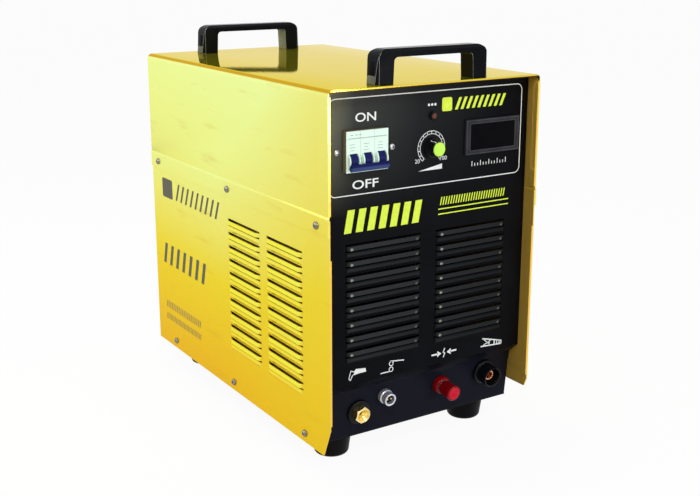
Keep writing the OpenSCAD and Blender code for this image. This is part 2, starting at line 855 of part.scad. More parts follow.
// Outline with leaning sides and round upper corners, standing on y = 0.
module trapezoid(base, high, r, lean_a) {
    cy = high - r;
    cx = base / 2 - cy * tan(lean_a) - r / cos(lean_a);
    tx = cx + r * cos(lean_a);
    ty = cy + r * sin(lean_a);
    polygon([[-base / 2, 0], [base / 2, 0], [tx, ty], [cx, high], [-cx, high], [-tx, ty]]);
    for (s = [-1, 1]) translate([s * cx, cy]) circle(r);
}

module handle() color(plastic_black) difference() {
    c = handle_bevel;
    intersection() {
        rotate([90, 0, 0]) linear_extrude(handle_d, center = true) difference() {
            trapezoid(handle_w, handle_h, handle_r, handle_flare);
            translate([0, -eps]) trapezoid(handle_w - 2 * handle_leg, grip_h + eps, grip_r, handle_flare / 2);
        }
        rotate([90, 0, 90]) linear_extrude(handle_w + 2, center = true)
            polygon([[-handle_d / 2, 0], [handle_d / 2, 0],
                     [handle_d / 2, handle_h - c], [handle_d / 2 - c, handle_h],
                     [c - handle_d / 2, handle_h], [-handle_d / 2, handle_h - c]]);
        linear_extrude(handle_h)
            polygon([[-handle_w / 2 + c, -handle_d / 2], [handle_w / 2 - c, -handle_d / 2],
                     [handle_w / 2, c - handle_d / 2], [handle_w / 2, handle_d / 2 - c],
                     [handle_w / 2 - c, handle_d / 2], [-handle_w / 2 + c, handle_d / 2],
                     [-handle_w / 2, handle_d / 2 - c], [-handle_w / 2, c - handle_d / 2]]);
    }
    for (s = [-1, 1]) translate([s * handle_bolt_x, handle_bolt_back, 0])
        rod(bolt_r + tap_gap, -1, handle_tap_l);
}

module front_handle() translate([handle_x, depth(front_handle_depth + handle_d / 2), top_z]) handle();

module rear_handle() translate([handle_x, depth(rear_handle_depth + handle_d / 2), top_z]) handle();

module handle_bolts() color(steel) for (p = handle_bolt_places())
    translate([p[0], p[1], drop(sheet)]) mirror([0, 0, 1])
        screw(bolt_r, bolt_head_r, bolt_head_h, handle_tap_l);

module rubber_feet() color(plastic_black) for (p = foot_places()) translate([p[0], p[1], 0])
    rotate_extrude() difference() {
        union() {
            polygon([[0, 0], [foot_low_r - foot_edge_r, 0], [foot_low_r, foot_edge_r],
                     [foot_top_r, foot_h - 2], [foot_top_r, foot_h], [0, foot_h]]);
            translate([foot_low_r - foot_edge_r, foot_edge_r]) circle(foot_edge_r);
        }
        translate([-1, -1]) square([bolt_r + hole_gap + 1, foot_h + 2]);
        translate([-1, -1]) square([bolt_head_r + hole_gap + 1, foot_h - foot_web + 1]);
        translate([-foot_top_r, -1]) square([foot_top_r, foot_h + 2]);
    }

module foot_bolts() color(steel) for (p = foot_places()) translate([p[0], p[1], 0]) {
    translate([0, 0, foot_h - foot_web]) mirror([0, 0, 1])
        screw(bolt_r, bolt_head_r, bolt_head_h, foot_web + sheet + 6);
    translate([0, 0, floor_z]) nut(8, bolt_r + tap_gap, 0, 4);
}

// ---------- breaker ----------

module on_breaker() on_front(breaker_x, breaker_drop) children();

// Axis of the toggles: local X, at z = toggle_z.
toggle_z = breaker_out - toggle_in;

module on_toggles() on_breaker() translate([0, -toggle_low, toggle_z]) children();

module breaker_body() color([0.90, 0.92, 0.88]) on_breaker() difference() {
    union() {
        translate([-breaker_w / 2, -breaker_face_h / 2, -2 * sheet])
            cube([breaker_w, breaker_face_h, 2 * sheet + breaker_out]);
        translate([-breaker_w / 2, -breaker_h / 2, -sheet - breaker_d])
            cube([breaker_w, breaker_h, breaker_d - edge_gap]);
    }
    for (i = [0:poles - 1])
        translate([(i - (poles - 1) / 2) * pole_w, -toggle_low, toggle_z]) rotate([0, 90, 0])
            rod(toggle_r + toggle_gap, -toggle_w / 2 - toggle_gap, toggle_w / 2 + toggle_gap);
    translate([0, -toggle_low, toggle_z]) rotate([0, 90, 0])
        rod(pivot_r + tap_gap, -breaker_w / 2 + 2, breaker_w / 2 - 2);
    translate([-breaker_w / 2 + 1.5, breaker_face_h / 2 - 8.6, breaker_out - 0.5])
        cube([breaker_w - 3, 0.8, 1]);
    for (i = [1:poles - 1]) translate([(i - poles / 2) * pole_w - 0.4, -breaker_face_h, breaker_out - 0.5])
        cube([0.8, 2 * breaker_face_h, 1]);
}

module breaker_toggle() color([0.16, 0.20, 0.50]) on_toggles() {
    for (i = [0:poles - 1]) translate([(i - (poles - 1) / 2) * pole_w, 0, 0]) {
        rotate([0, 90, 0]) rod(toggle_r, -toggle_w / 2, toggle_w / 2);
        rotate([toggle_off, 0, 0]) translate([-arm_w / 2, -arm_t / 2, 0]) cube([arm_w, arm_t, bar_reach]);
    }
    rotate([0, 90, 0]) rod(pivot_r, -breaker_w / 2 + 3, breaker_w / 2 - 3);
    rotate([toggle_off, 0, 0]) translate([-bar_len / 2, -bar_h / 2, bar_reach - bar_t / 2])
        cube([bar_len, bar_h, bar_t]);
}

// Steel strap behind the panel that carries the breaker on two screws.
module breaker_bracket() color(steel) on_breaker() difference() {
    union() {
        for (s = [-1, 1])
            translate([s * (breaker_w + 2 * edge_gap + ear_l) / 2 - ear_l / 2, -8, -sheet - bracket_t])
                cube([ear_l, 16, bracket_t]);
        for (s = [-1, 1]) translate([s * (breaker_w / 2 + edge_gap + bracket_t / 2) - bracket_t / 2, -8,
                                     -sheet - breaker_d - bracket_t])
            cube([bracket_t, 16, breaker_d + bracket_t]);
        translate([-breaker_w / 2 - edge_gap, -8, -sheet - breaker_d - bracket_t])
            cube([breaker_w + 2 * edge_gap, 16, bracket_t]);
    }
    for (s = [-1, 1]) translate([s * bracket_pitch / 2, 0, 0]) rod(screw_r + tap_gap, -10, 0);
}

module breaker_screws() color(steel) on_breaker() for (s = [-1, 1]) translate([s * bracket_pitch / 2, 0, 0])
    screw(screw_r, screw_head_r, screw_head_h, screw_len);

// ---------- current control, lamp and meter ----------

module on_knob() on_front(knob_x, knob_drop) children();

module current_control() color([0.45, 0.47, 0.50]) on_knob() difference() {
    union() {
        rod(pot_r, -sheet - pot_d, -sheet);
        rod(bush_r, -sheet - 1, bush_l);
    }
    rod(shaft_r + tap_gap, -sheet - pot_d + 3, bush_l + 1);
}

module control_nut() color(steel) on_knob() nut(12, bush_r + tap_gap, 0, nut_t);

module control_shaft() color(brass) on_knob() rod(shaft_r, -sheet - pot_d + 3.3, knob_off + shaft_l - 3);

module current_knob() color(plastic_black) on_knob() difference() {
    union() {
        rod(knob_skirt_r, knob_off, knob_off + 3);
        translate([0, 0, knob_off + 3]) cylinder(r1 = knob_r + 1, r2 = knob_r, h = knob_h - 3);
        for (i = [0:15]) rotate([0, 0, i * 22.5]) translate([knob_r - 0.3, 0, knob_off + 3])
            cylinder(r = 0.9, h = knob_h - 4, $fn = 8);
        rotate([0, 0, knob_rest]) translate([-0.6, knob_r - 1, knob_off + 2]) cube([1.2, 2.2, knob_h - 2.6]);
    }
    rod(shaft_r + tap_gap, knob_off - 1, knob_off + shaft_l - 2.7);
    rod(cap_r + tap_gap, knob_off + knob_h - 1, knob_off + knob_h + 1);
}

module knob_cap() color([0.72, 0.85, 0.15]) on_knob() {
    rod(cap_r, knob_off + knob_h - 1, knob_off + knob_h + cap_h * 0.5);
    translate([0, 0, knob_off + knob_h + cap_h * 0.5])
        cylinder(r1 = cap_r, r2 = cap_r - cap_h * 0.5, h = cap_h * 0.5);
}

module lamp_bezel() color([0.35, 0.30, 0.24]) on_front(knob_x, lamp_drop) difference() {
    union() {
        cylinder(r1 = lamp_bezel_r, r2 = lamp_r + 1, h = 1.5);
        rod(lamp_r + 0.8, -9, lamp_out);
    }
    rod(lamp_r + tap_gap, -10, lamp_out + 1);
}

module lamp_lens() color([0.85, 0.50, 0.12]) on_front(knob_x, lamp_drop) {
    rod(lamp_r, -8, lamp_out);
    translate([0, 0, lamp_out]) scale([1, 1, 0.35]) intersection() {
        sphere(lamp_r);
        rod(lamp_r, 0, lamp_r);
    }
}

module on_meter() on_front(meter_x, meter_drop) children();

module meter_housing() color([0.16, 0.16, 0.17]) on_meter() difference() {
    union() {
        translate([-meter_w / 2, -meter_h / 2, 0]) cube([meter_w, meter_h, meter_out]);
        translate([-meter_w / 2 + 3, -meter_h / 2 + 2.5, -meter_d]) cube([meter_w - 6, meter_h - 5, meter_d]);
    }
    translate([-meter_window_w / 2, -meter_window_h / 2, meter_out - 1.5])
        cube([meter_window_w, meter_window_h, 3]);
}

module meter_window() color([0.05, 0.04, 0.05]) on_meter()
    translate([-meter_window_w / 2 + 0.1, -meter_window_h / 2 + 0.1, meter_out - 1.5])
        cube([meter_window_w - 0.2, meter_window_h - 0.2, 0.9]);

// ---------- front sockets ----------

module torch_insulator() color(plastic_black) on_lower(torch_x, torch_drop) difference() {
    union() {
        rod(torch_flange_r, 0, torch_flange_t - 1);
        translate([0, 0, torch_flange_t - 1])
            cylinder(r1 = torch_flange_r, r2 = torch_flange_r - 1, h = 1);
        rod(torch_sleeve_r, -torch_sleeve_l, 0.1);
    }
    rod(torch_barrel_r + tap_gap, -torch_sleeve_l - 1, torch_flange_t + 1);
}

torch_front = torch_flange_t + torch_hex_l;
torch_back = -torch_sleeve_l - torch_nut_t - 4;
torch_tail_out = 14;

module torch_fitting() color(brass) on_lower(torch_x, torch_drop) difference() {
    union() {
        intersection() {
            rotate([0, 0, 20]) hexagon(torch_hex, torch_flange_t, torch_front);
            translate([0, 0, torch_flange_t])
                cylinder(r1 = torch_hex / 2 + torch_hex_l, r2 = torch_hex / 2 - 0.8, h = torch_hex_l + 0.01);
        }
        rod(torch_barrel_r, torch_back, torch_flange_t + 0.1);
        rod(torch_bore_r + 2, torch_back - torch_tail_out, torch_back + 1);
    }
    translate([0, 0, torch_front - 8]) cylinder(r1 = torch_bore_r, r2 = torch_cone_r, h = 8.01);
    rod(torch_bore_r, torch_back - torch_tail_out - 1, torch_front);
}

module torch_locknut() color(steel) on_lower(torch_x, torch_drop)
    nut(torch_nut_hex, torch_barrel_r + tap_gap, -torch_sleeve_l - torch_nut_t, -torch_sleeve_l);

module control_socket() color([0.80, 0.81, 0.83]) on_lower(control_x, control_drop) difference() {
    union() {
        rod(control_collar_r, 0, 5);
        translate([0, 0, 5]) cylinder(r1 = control_collar_r, r2 = control_nose_r, h = 1.5);
        rod(control_nose_r, 6, control_out);
        rod(control_barrel_r, -12, 0.1);
    }
    rod(control_bore_r, -13, control_out + 1);
}

module control_socket_insert() color(plastic_black) on_lower(control_x, control_drop)
    rod(control_bore_r - tap_gap, -10, control_out - control_well);

module control_socket_pins() color(brass) on_lower(control_x, control_drop) for (s = [-1, 1]) {
    translate([s * 2.6, 0, control_out - control_well]) rod(1, 0, control_pin_l);
    translate([s * 2.6, 0, -10]) rod(1, -4, 0);
}

module control_socket_nut() color(steel) on_lower(control_x, control_drop)
    nut(18, control_barrel_r + tap_gap, -sheet - control_nut_t, -sheet);

module on_pilot() on_lower(pilot_x, pilot_drop) children();

module pilot_collar() color(terminal_red) on_pilot() difference() {
    union() {
        rotate_extrude() polygon([[0, 0], [pilot_collar_r, 0], [pilot_collar_r, pilot_collar_l * 0.55],
                                  [pilot_collar_r * 0.93, pilot_collar_l * 0.85],
                                  [pilot_collar_r * 0.8, pilot_collar_l], [0, pilot_collar_l]]);
        rod(pilot_hole_r, -sheet - 3, 0.1);
    }
    rod(pilot_stud_r + tap_gap, -sheet - 4, pilot_collar_l + 1);
}

module pilot_stud() color(brass) on_pilot() {
    rod(pilot_stud_r, -22, pilot_cap_rest + pilot_cap_l - 5);
    nut(11, pilot_stud_r - 0.1, -sheet - 3 - 5, -sheet - 3);
}

module pilot_washer() color(steel) on_pilot()
    tube(pilot_cap_r - 1.2, pilot_stud_r + tap_gap, pilot_collar_l, pilot_collar_l + pilot_washer_t);

module pilot_cap() color(terminal_red) on_pilot() difference() {
    union() {
        translate([0, 0, pilot_cap_rest]) cylinder(r1 = pilot_cap_r - 1.4, r2 = pilot_cap_r - 0.8, h = 1.5);
        translate([0, 0, pilot_cap_rest + 1.5])
            cylinder(r1 = pilot_cap_r - 0.8, r2 = pilot_cap_r, h = pilot_cap_l - 2.5);
        translate([0, 0, pilot_cap_rest + pilot_cap_l - 1])
            cylinder(r1 = pilot_cap_r, r2 = pilot_cap_r - 0.9, h = 1);
    }
    rod(pilot_stud_r + tap_gap, pilot_cap_rest - 1, pilot_cap_rest + pilot_cap_l - 4);
}

module on_work() on_lower(work_x, work_drop) children();

module work_socket_body() color(plastic_black) on_work() difference() {
    union() {
        rod(work_flange_r, 0, work_flange_t - 1);
        translate([0, 0, work_flange_t - 1])
            cylinder(r1 = work_flange_r, r2 = work_flange_r - 1, h = 1);
        rod(work_nose_r, work_flange_t - 0.1, work_out);
        rod(work_neck_r, -work_body_in, 0.1);
    }
    rod(work_well_r, work_flange_t, work_out + 1);
    translate([-2.2, 0, work_flange_t]) cube([4.4, work_well_r + 1.1, work_out]);
    rod(work_contact_r + tap_gap, -work_body_in - 1, work_flange_t + 1);
}

module work_socket_contact() color([0.78, 0.48, 0.30]) on_work() difference() {
    rod(work_contact_r, -work_body_in - 12, work_out - work_contact_in);
    rod(work_bore_r, work_out - work_contact_in - work_bore_l, work_out);
}

module work_socket_nut() color(steel) on_work()
    nut(work_nut_hex, work_neck_r + tap_gap, -sheet - work_nut_t, -sheet);

// ---------- fan ----------

// Local frame of the fan: Z to the rear, z = 0 on the frame's rear face.
module on_fan() translate([0, depth(fan_back), fan_z]) rotate([-90, 0, 0]) children();

module fan_frame() color(plastic_black) on_fan() difference() {
    union() {
        difference() {
            translate([-fan_w / 2, -fan_w / 2, -fan_d]) cube([fan_w, fan_w, fan_d]);
            rod(duct_r, -fan_d - 1, 1);
            for (a = [0:90:270]) rotate([0, 0, a])
                translate([-fan_w / 2 + fan_corner, duct_r + 1.5, -fan_d + fan_rim])
                    cube([fan_w - 2 * fan_corner, fan_w, fan_d - 2 * fan_rim]);
        }
        rod(hub_r, -fan_d, -fan_d + motor_d);
        for (a = [45:90:315]) rotate([0, 0, a]) translate([0, -4, -fan_d]) cube([duct_r + 2, 8, 5]);
        rod(fan_shaft_r, -fan_d + 1, -6);
    }
    for (x = [-1, 1]) for (y = [-1, 1]) translate([x * fan_pitch / 2, y * fan_pitch / 2, 0])
        rod(fan_screw_r + tap_gap, -fan_d - 1, 1);
}

module fan_impeller() color([0.12, 0.12, 0.13]) on_fan() translate([0, 0, impeller_z]) difference() {
    union() {
        rod(hub_r, 0, impeller_d);
        for (i = [0:blades - 1]) rotate([0, 0, i * 360 / blades]) intersection() {
            translate([0, 0, 1]) tube(blade_r, hub_r - 1, 0, impeller_d - 2);
            translate([0, 0, impeller_d / 2]) rotate([blade_pitch, 0, 0])
                translate([0, -impeller_d * 1.2, -blade_t / 2])
                    cube([blade_r + 2, impeller_d * 2.4, blade_t]);
        }
    }
    rod(fan_shaft_r + tap_gap, -1, impeller_d + 1);
}

// Wire guard on the outside of the rear panel.
module fan_guard() color(steel) on_rear(0, fan_up) {
    reach = fan_pitch / 2 * sqrt(2);
    for (i = [1:guard_rings]) translate([0, 0, spoke_z + wire_r * 1.2]) rotate_extrude()
        translate([i * (duct_r + 2) / guard_rings, 0]) circle(wire_r);
    for (a = [45:90:315]) rotate([0, 0, a]) {
        translate([0, 0, spoke_z]) rotate([0, 90, 0]) rod(wire_r, 6, reach - 3);
        translate([reach, 0, 0]) tube(4.5, fan_screw_r + hole_gap, 0, lug_t);
    }
    rod(8, spoke_z + 0.3, spoke_z + wire_r * 2.6);
}

module fan_screws() color(steel) on_rear(0, fan_up) for (x = [-1, 1]) for (y = [-1, 1])
    translate([x * fan_pitch / 2, y * fan_pitch / 2, lug_t])
        screw(fan_screw_r, screw_head_r, screw_head_h, fan_d + 2 * sheet);

// ---------- rear fittings ----------

module mains_gland() color(plastic_black) on_rear(gland_x, rear_fit_up) difference() {
    union() {
        hexagon(gland_hex, 0, gland_flange_t);
        rod(gland_thread_r, -11, gland_flange_t + gland_thread_l);
    }
    rod(gland_bore_r, -12, gland_flange_t + gland_thread_l + 1);
}

module gland_cap() color(plastic_black) on_rear(gland_x, rear_fit_up) difference() {
    dome = gland_flange_t + gland_cap_l * 0.55;
    union() {
        hexagon(gland_hex - 2, gland_flange_t, dome);
        translate([0, 0, dome])
            cylinder(r1 = gland_hex / 2 - 1.5, r2 = gland_bore_r + 3, h = gland_out - dome);
    }
    rod(gland_thread_r + tap_gap, gland_flange_t - 1, gland_flange_t + gland_thread_l + 0.2);
    rod(gland_bore_r, 0, gland_out + 1);
}

module gland_locknut() color(plastic_black) on_rear(gland_x, rear_fit_up)
    nut(gland_hex, gland_thread_r + tap_gap, -sheet - 5, -sheet);

module air_inlet() color(brass) on_rear(inlet_x, rear_fit_up) difference() {
    union() {
        hexagon(inlet_hex, 0, inlet_hex_l);
        rod(inlet_thread_r, -inlet_back, 0.1);
        nut(inlet_hex, inlet_thread_r - 0.1, -sheet - 4, -sheet);
        rod(barb_r - 0.6, inlet_hex_l, inlet_hex_l + barb_l);
        for (i = [0:2]) translate([0, 0, inlet_hex_l + (i + 0.6) * barb_l / 3.7])
            cylinder(r1 = barb_r, r2 = barb_r - 0.7, h = barb_l / 4.2);
    }
    rod(inlet_bore_r, -inlet_back - 1, inlet_hex_l + barb_l + 1);
}

module earth_stud() color(brass) on_rear(earth_x, earth_up) {
    rod(earth_r, -10, earth_out);
    nut(earth_hex, earth_r - 0.1, 0, earth_nut_t);
    nut(earth_hex, earth_r - 0.1, -sheet - earth_nut_t, -sheet);
    nut(earth_hex, earth_r - 0.1, earth_nut_t + 4, 2 * earth_nut_t + 4);
    tube(9, earth_r - 0.1, earth_nut_t, earth_nut_t + 1.5);
}

// ---------- inside ----------

module shelf() color(steel) standing(shelf_depth, shelf_d) difference() {
    translate([-shelf_w / 2, floor_z]) square([shelf_w, shelf_z - floor_z]);
    translate([-shelf_w / 2 + sheet, floor_z - 1])
        square([shelf_w - 2 * sheet, shelf_z - floor_z - sheet + 1]);
}

module heat_sinks() color([0.62, 0.64, 0.66]) for (s = [-1, 1])
    translate([s * (sink_w + sink_gap) / 2, 0, shelf_z]) standing(shelf_depth + sink_front, sink_d) {
        translate([-sink_w / 2, sink_h - sink_base]) square([sink_w, sink_base]);
        for (i = [0:fins - 1]) translate([-sink_w / 2 + i * (sink_w - fin_t) / (fins - 1), 0])
            square([fin_t, sink_h]);
    }

// Depth of the power board's front edge.
board_depth = shelf_depth + sink_front - board_over;

module power_board() color([0.10, 0.35, 0.20]) {
    translate([-sink_w - sink_gap / 2, depth(board_depth), board_z])
        cube([2 * sink_w + sink_gap, sink_d + 2 * board_over, board_t]);
    for (x = [-1, 1]) for (d = [post_in, sink_d - post_in])
        translate([x * (sink_w - post_in + sink_gap / 2), depth(shelf_depth + sink_front + d), 0])
            rod(post_r, shelf_z + sink_h, board_z + 0.1);
}

module bus_capacitors() color([0.14, 0.17, 0.24])
    for (x = [-1, 1]) for (d = [capacitor_in, sink_d - capacitor_in])
        translate([x * capacitor_x, depth(board_depth + board_over + d), board_z + board_t])
            rod(capacitor_r, 0, capacitor_h);

module control_board() color([0.10, 0.35, 0.20]) {
    translate([-control_board_w / 2, depth(board_depth + control_board_in), board_z + board_t])
        cube([control_board_w, board_t, control_board_h]);
    for (x = [-1, 1]) translate([x * plug_x - plug_w / 2,
                                 depth(board_depth + control_board_in) + board_t, board_z + board_t])
        cube([plug_w, plug_d, plug_h]);
}

module transformer_core() color([0.20, 0.20, 0.21]) standing(core_depth, core_d)
    translate([-core_w / 2, floor_z]) difference() {
        square([core_w, core_h]);
        window = core_w / 2 - core_yoke - core_limb / 2;
        for (x = [core_yoke, core_w / 2 + core_limb / 2])
            translate([x, core_yoke]) square([window, core_h - 2 * core_yoke]);
    }

module transformer_winding() color([0.65, 0.35, 0.16]) {
    wide = core_limb + 2 * edge_gap;
    deep = core_d + 2 * edge_gap;
    translate([0, depth(core_depth + core_d / 2), floor_z + core_yoke])
        difference() {
            linear_extrude(core_h - 2 * core_yoke)
                square([wide + 2 * winding_wall, deep + 2 * winding_wall], center = true);
            translate([0, 0, -1]) linear_extrude(core_h) square([wide, deep], center = true);
        }
}

module output_choke() color([0.65, 0.35, 0.16])
    translate([0, depth(choke_depth), floor_z + choke_tube_r])
        rotate_extrude() translate([choke_r, 0]) circle(choke_tube_r);

module gas_valve() color(brass) translate([inlet_x + valve_in, depth(valve_depth), floor_z]) {
    translate([-valve_w / 2, 0, 0]) cube([valve_w, valve_d, valve_h]);
    translate([0, valve_d / 2, valve_h - 0.1]) cylinder(r = coil_r, h = coil_h);
}

// Round hose through a list of points.
module hose(points, r) {
    for (i = [0:len(points) - 2]) {
        v = points[i + 1] - points[i];
        translate(points[i])
            rotate([0, acos(v[2] / norm(v)), atan2(v[1], v[0])]) cylinder(r = r, h = norm(v));
    }
    for (i = [1:len(points) - 2]) translate(points[i]) sphere(r + 0.2);
}

// Inner end of the torch fitting's tail, in the part's frame.
torch_tail_l = torch_tail_out - torch_back;
torch_tail = [torch_x,
    depth(lower_depth) + torch_drop * sin(lean) + torch_tail_l * cos(lean),
    drop(lower_drop) - torch_drop * cos(lean) + torch_tail_l * sin(lean)];
torch_axis = [0, cos(lean), sin(lean)];

module air_hose() color([0.25, 0.25, 0.28]) {
    low = floor_z + valve_h / 2;
    high = foot_h + rear_fit_up;
    valve_x = inlet_x + valve_in;
    hose([torch_tail, torch_tail + hose_lead * torch_axis, [valve_x, torch_tail[1] + hose_drop, low],
          [valve_x, depth(valve_depth), low]], hose_r);
    hose([[inlet_x, depth(rear_face - inlet_back), high],
          [inlet_x, depth(rear_face - inlet_back - hose_tail), high],
          [valve_x, depth(valve_depth + valve_d + hose_bend), low],
          [valve_x, depth(valve_depth + valve_d), low]], hose_r);
}

module arc_starter() color([0.15, 0.15, 0.17]) {
    translate([starter_x, depth(starter_depth), floor_z]) cube([starter_w, starter_d, starter_h]);
    translate([starter_x + starter_w / 2, depth(starter_depth + starter_d / 3), floor_z + starter_h - 0.1])
        cylinder(r = starter_coil_r, h = starter_coil_h);
}

base_tray();
front_panel();
rear_panel();
top_cover();
left_side_panel();
right_side_panel();
case_screws();
front_handle();
rear_handle();
handle_bolts();
rubber_feet();
foot_bolts();
breaker_body();
breaker_toggle();
breaker_bracket();
breaker_screws();
current_control();
control_shaft();
control_nut();
current_knob();
knob_cap();
lamp_bezel();
lamp_lens();
meter_housing();
meter_window();
torch_insulator();
torch_fitting();
torch_locknut();
control_socket();
control_socket_insert();
control_socket_pins();
control_socket_nut();
pilot_collar();
pilot_stud();
pilot_washer();
pilot_cap();
work_socket_body();
work_socket_contact();
work_socket_nut();
fan_frame();
fan_impeller();
fan_guard();
fan_screws();
mains_gland();
gland_cap();
gland_locknut();
air_inlet();
earth_stud();
shelf();
heat_sinks();
power_board();
bus_capacitors();
control_board();
transformer_core();
transformer_winding();
output_choke();
gas_valve();
air_hose();
arc_starter();
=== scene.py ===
import math

import bmesh
import bpy
from mathutils import Matrix, Vector


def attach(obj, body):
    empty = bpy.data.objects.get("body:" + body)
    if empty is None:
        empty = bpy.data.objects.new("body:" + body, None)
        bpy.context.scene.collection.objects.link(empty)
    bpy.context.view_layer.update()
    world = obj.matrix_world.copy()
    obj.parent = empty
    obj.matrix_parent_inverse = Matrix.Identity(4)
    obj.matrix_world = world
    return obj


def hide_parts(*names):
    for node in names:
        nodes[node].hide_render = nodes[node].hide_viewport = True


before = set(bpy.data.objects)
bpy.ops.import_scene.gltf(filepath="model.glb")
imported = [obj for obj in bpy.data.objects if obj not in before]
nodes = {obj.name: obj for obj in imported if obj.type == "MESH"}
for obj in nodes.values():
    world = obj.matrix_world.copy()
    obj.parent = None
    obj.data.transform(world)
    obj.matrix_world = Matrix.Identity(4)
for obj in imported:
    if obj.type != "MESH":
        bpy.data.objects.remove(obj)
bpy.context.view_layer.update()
bpy.context.scene.view_settings.view_transform = "Standard"
print("frame loaded with", len(nodes), "nodes")

# The case's own sizes in millimetres, which every placed piece is measured from.
case = {
    "frontY": -248.0,
    "topZ": 442.0,
    "footHeight": 28.0,
    "panelRecess": 18.0,
    "lowerDepth": 34.0,
    "lowerDrop": 353.0,
    "lean": math.radians(6),
    "lapOut": 145.8,      # outer face of the cover's lap
    "sideOut": 144.3,     # outer face of the lower side panels
    "sideIn": 142.8,
    "sheet": 1.5,
}


# Places on the case, in millimetres, with Z pointing out of the surface.
def placeOf(origin, right, up, out):
    columns = Matrix((right, up, out)).transposed().to_4x4()
    return Matrix.Translation(origin) @ columns


def onFront(x, drop, out=0.0):
    origin = (x, case["frontY"] + case["panelRecess"] - out, case["topZ"] - drop)
    return placeOf(origin, (1, 0, 0), (0, 0, 1), (0, -1, 0))


def onLower(x, drop, out=0.0):
    along, across = math.cos(case["lean"]), math.sin(case["lean"])
    origin = Vector((x, case["frontY"] + case["lowerDepth"] + drop * across,
                     case["topZ"] - case["lowerDrop"] - drop * along))
    facing = Vector((0, -along, -across))
    return placeOf(origin + out * facing, (1, 0, 0), (0, -across, along), facing)


def onSide(side, depth, drop, out):
    origin = (side * out, case["frontY"] + depth, case["topZ"] - drop)
    return placeOf(origin, (0, side, 0), (0, 0, 1), (side, 0, 0))


def turned(degrees, axis="Z"):
    return Matrix.Rotation(math.radians(degrees), 4, axis)


def moved(x=0.0, y=0.0, z=0.0):
    return Matrix.Translation((x, y, z))


# Node helpers for the materials.
def srgb(red, green, blue):
    shares = [value / 255 for value in (red, green, blue)]
    linear = [share / 12.92 if share <= 0.0404 else ((share + 0.055) / 1.055) ** 2.4 for share in shares]
    return (*linear, 1.0)


def addNode(tree, kind, inputs=None, **settings):
    node = tree.nodes.new(kind)
    for key, value in settings.items():
        setattr(node, key, value)
    for key, value in (inputs or {}).items():
        if isinstance(value, bpy.types.NodeSocket):
            tree.links.new(value, node.inputs[key])
        else:
            node.inputs[key].default_value = value
    return node


def startMaterial(name):
    material = bpy.data.materials.new(name)
    material.use_nodes = True
    tree = material.node_tree
    return material, tree, tree.nodes["Principled BSDF"]


def placeAndAxes(tree):
    place = addNode(tree, "ShaderNodeTexCoord").outputs["Object"]
    return place, addNode(tree, "ShaderNodeSeparateXYZ", {"Vector": place}).outputs


def noiseOf(tree, place, scale, detail=3.0, stretch=(1, 1, 1)):
    stretched = addNode(tree, "ShaderNodeMapping", {"Vector": place, "Scale": stretch}).outputs["Vector"]
    return addNode(tree, "ShaderNodeTexNoise",
                   {"Vector": stretched, "Scale": scale, "Detail": detail}).outputs["Fac"]


def rampOf(tree, value, stops):
    ramp = addNode(tree, "ShaderNodeValToRGB", {"Fac": value})
    line = ramp.color_ramp
    while len(line.elements) < len(stops):
        line.elements.new(0.5)
    for element, (position, colour) in zip(line.elements, stops):
        element.position = position
        element.color = colour
    return ramp.outputs["Color"]


def rangeOf(tree, value, fromLow, fromHigh, toLow=0.0, toHigh=1.0):
    return addNode(tree, "ShaderNodeMapRange", {"Value": value, "From Min": fromLow, "From Max": fromHigh,
                                                "To Min": toLow, "To Max": toHigh}).outputs["Result"]


def mathOf(tree, kind, first, second=0.0):
    return addNode(tree, "ShaderNodeMath", {0: first, 1: second}, operation=kind).outputs[0]


def mixOf(tree, share, first, second):
    mixed = addNode(tree, "ShaderNodeMix", {0: share, 6: first, 7: second}, data_type="RGBA")
    return mixed.outputs[2]


def bumpOf(tree, height, strength, distance=0.0002):
    return addNode(tree, "ShaderNodeBump", {"Height": height, "Strength": strength,
                                            "Distance": distance}).outputs["Normal"]


# A finish whose colour and gloss wander a little and whose skin has a fine grain.
def makeFinish(name, colours, gloss, patches=30.0, grain=1500.0, relief=0.1, stretch=(1, 1, 1), sockets=None):
    material, tree, shader = startMaterial(name)
    place = addNode(tree, "ShaderNodeTexCoord").outputs["Object"]
    patch = noiseOf(tree, place, patches, 4.0, stretch)
    fine = noiseOf(tree, place, grain, 2.0, stretch)
    colour = rampOf(tree, patch, [(0.35, colours[0]), (0.65, colours[1])])
    tree.links.new(colour, shader.inputs["Base Color"])
    tree.links.new(rangeOf(tree, patch, 0.3, 0.7, gloss[0], gloss[1]), shader.inputs["Roughness"])
    tree.links.new(bumpOf(tree, fine, relief), shader.inputs["Normal"])
    for key, value in (sockets or {}).items():
        shader.inputs[key].default_value = value
    return material


# Powder coat of the case: gold low on the walls and lemon where they rise are painted reflection; gold again
# on top and inside.
paint = {
    # Painted reflection on the outer walls, from low to high.
    "low": srgb(231, 182, 42),
    "middle": srgb(232, 211, 64),
    "high": srgb(232, 248, 164),
    # Painted highlight on the raised louvre strips of the walls.
    "raised": srgb(244, 240, 84),
    "crown": srgb(212, 206, 50),
    "inside": srgb(246, 200, 88),
    # Painted shade on the bend along the top edges.
    "bend": srgb(198, 156, 44),
    # Painted shadow on the hood's front lip.
    "lip": srgb(46, 38, 26),
    "scuff": srgb(206, 164, 56),
}


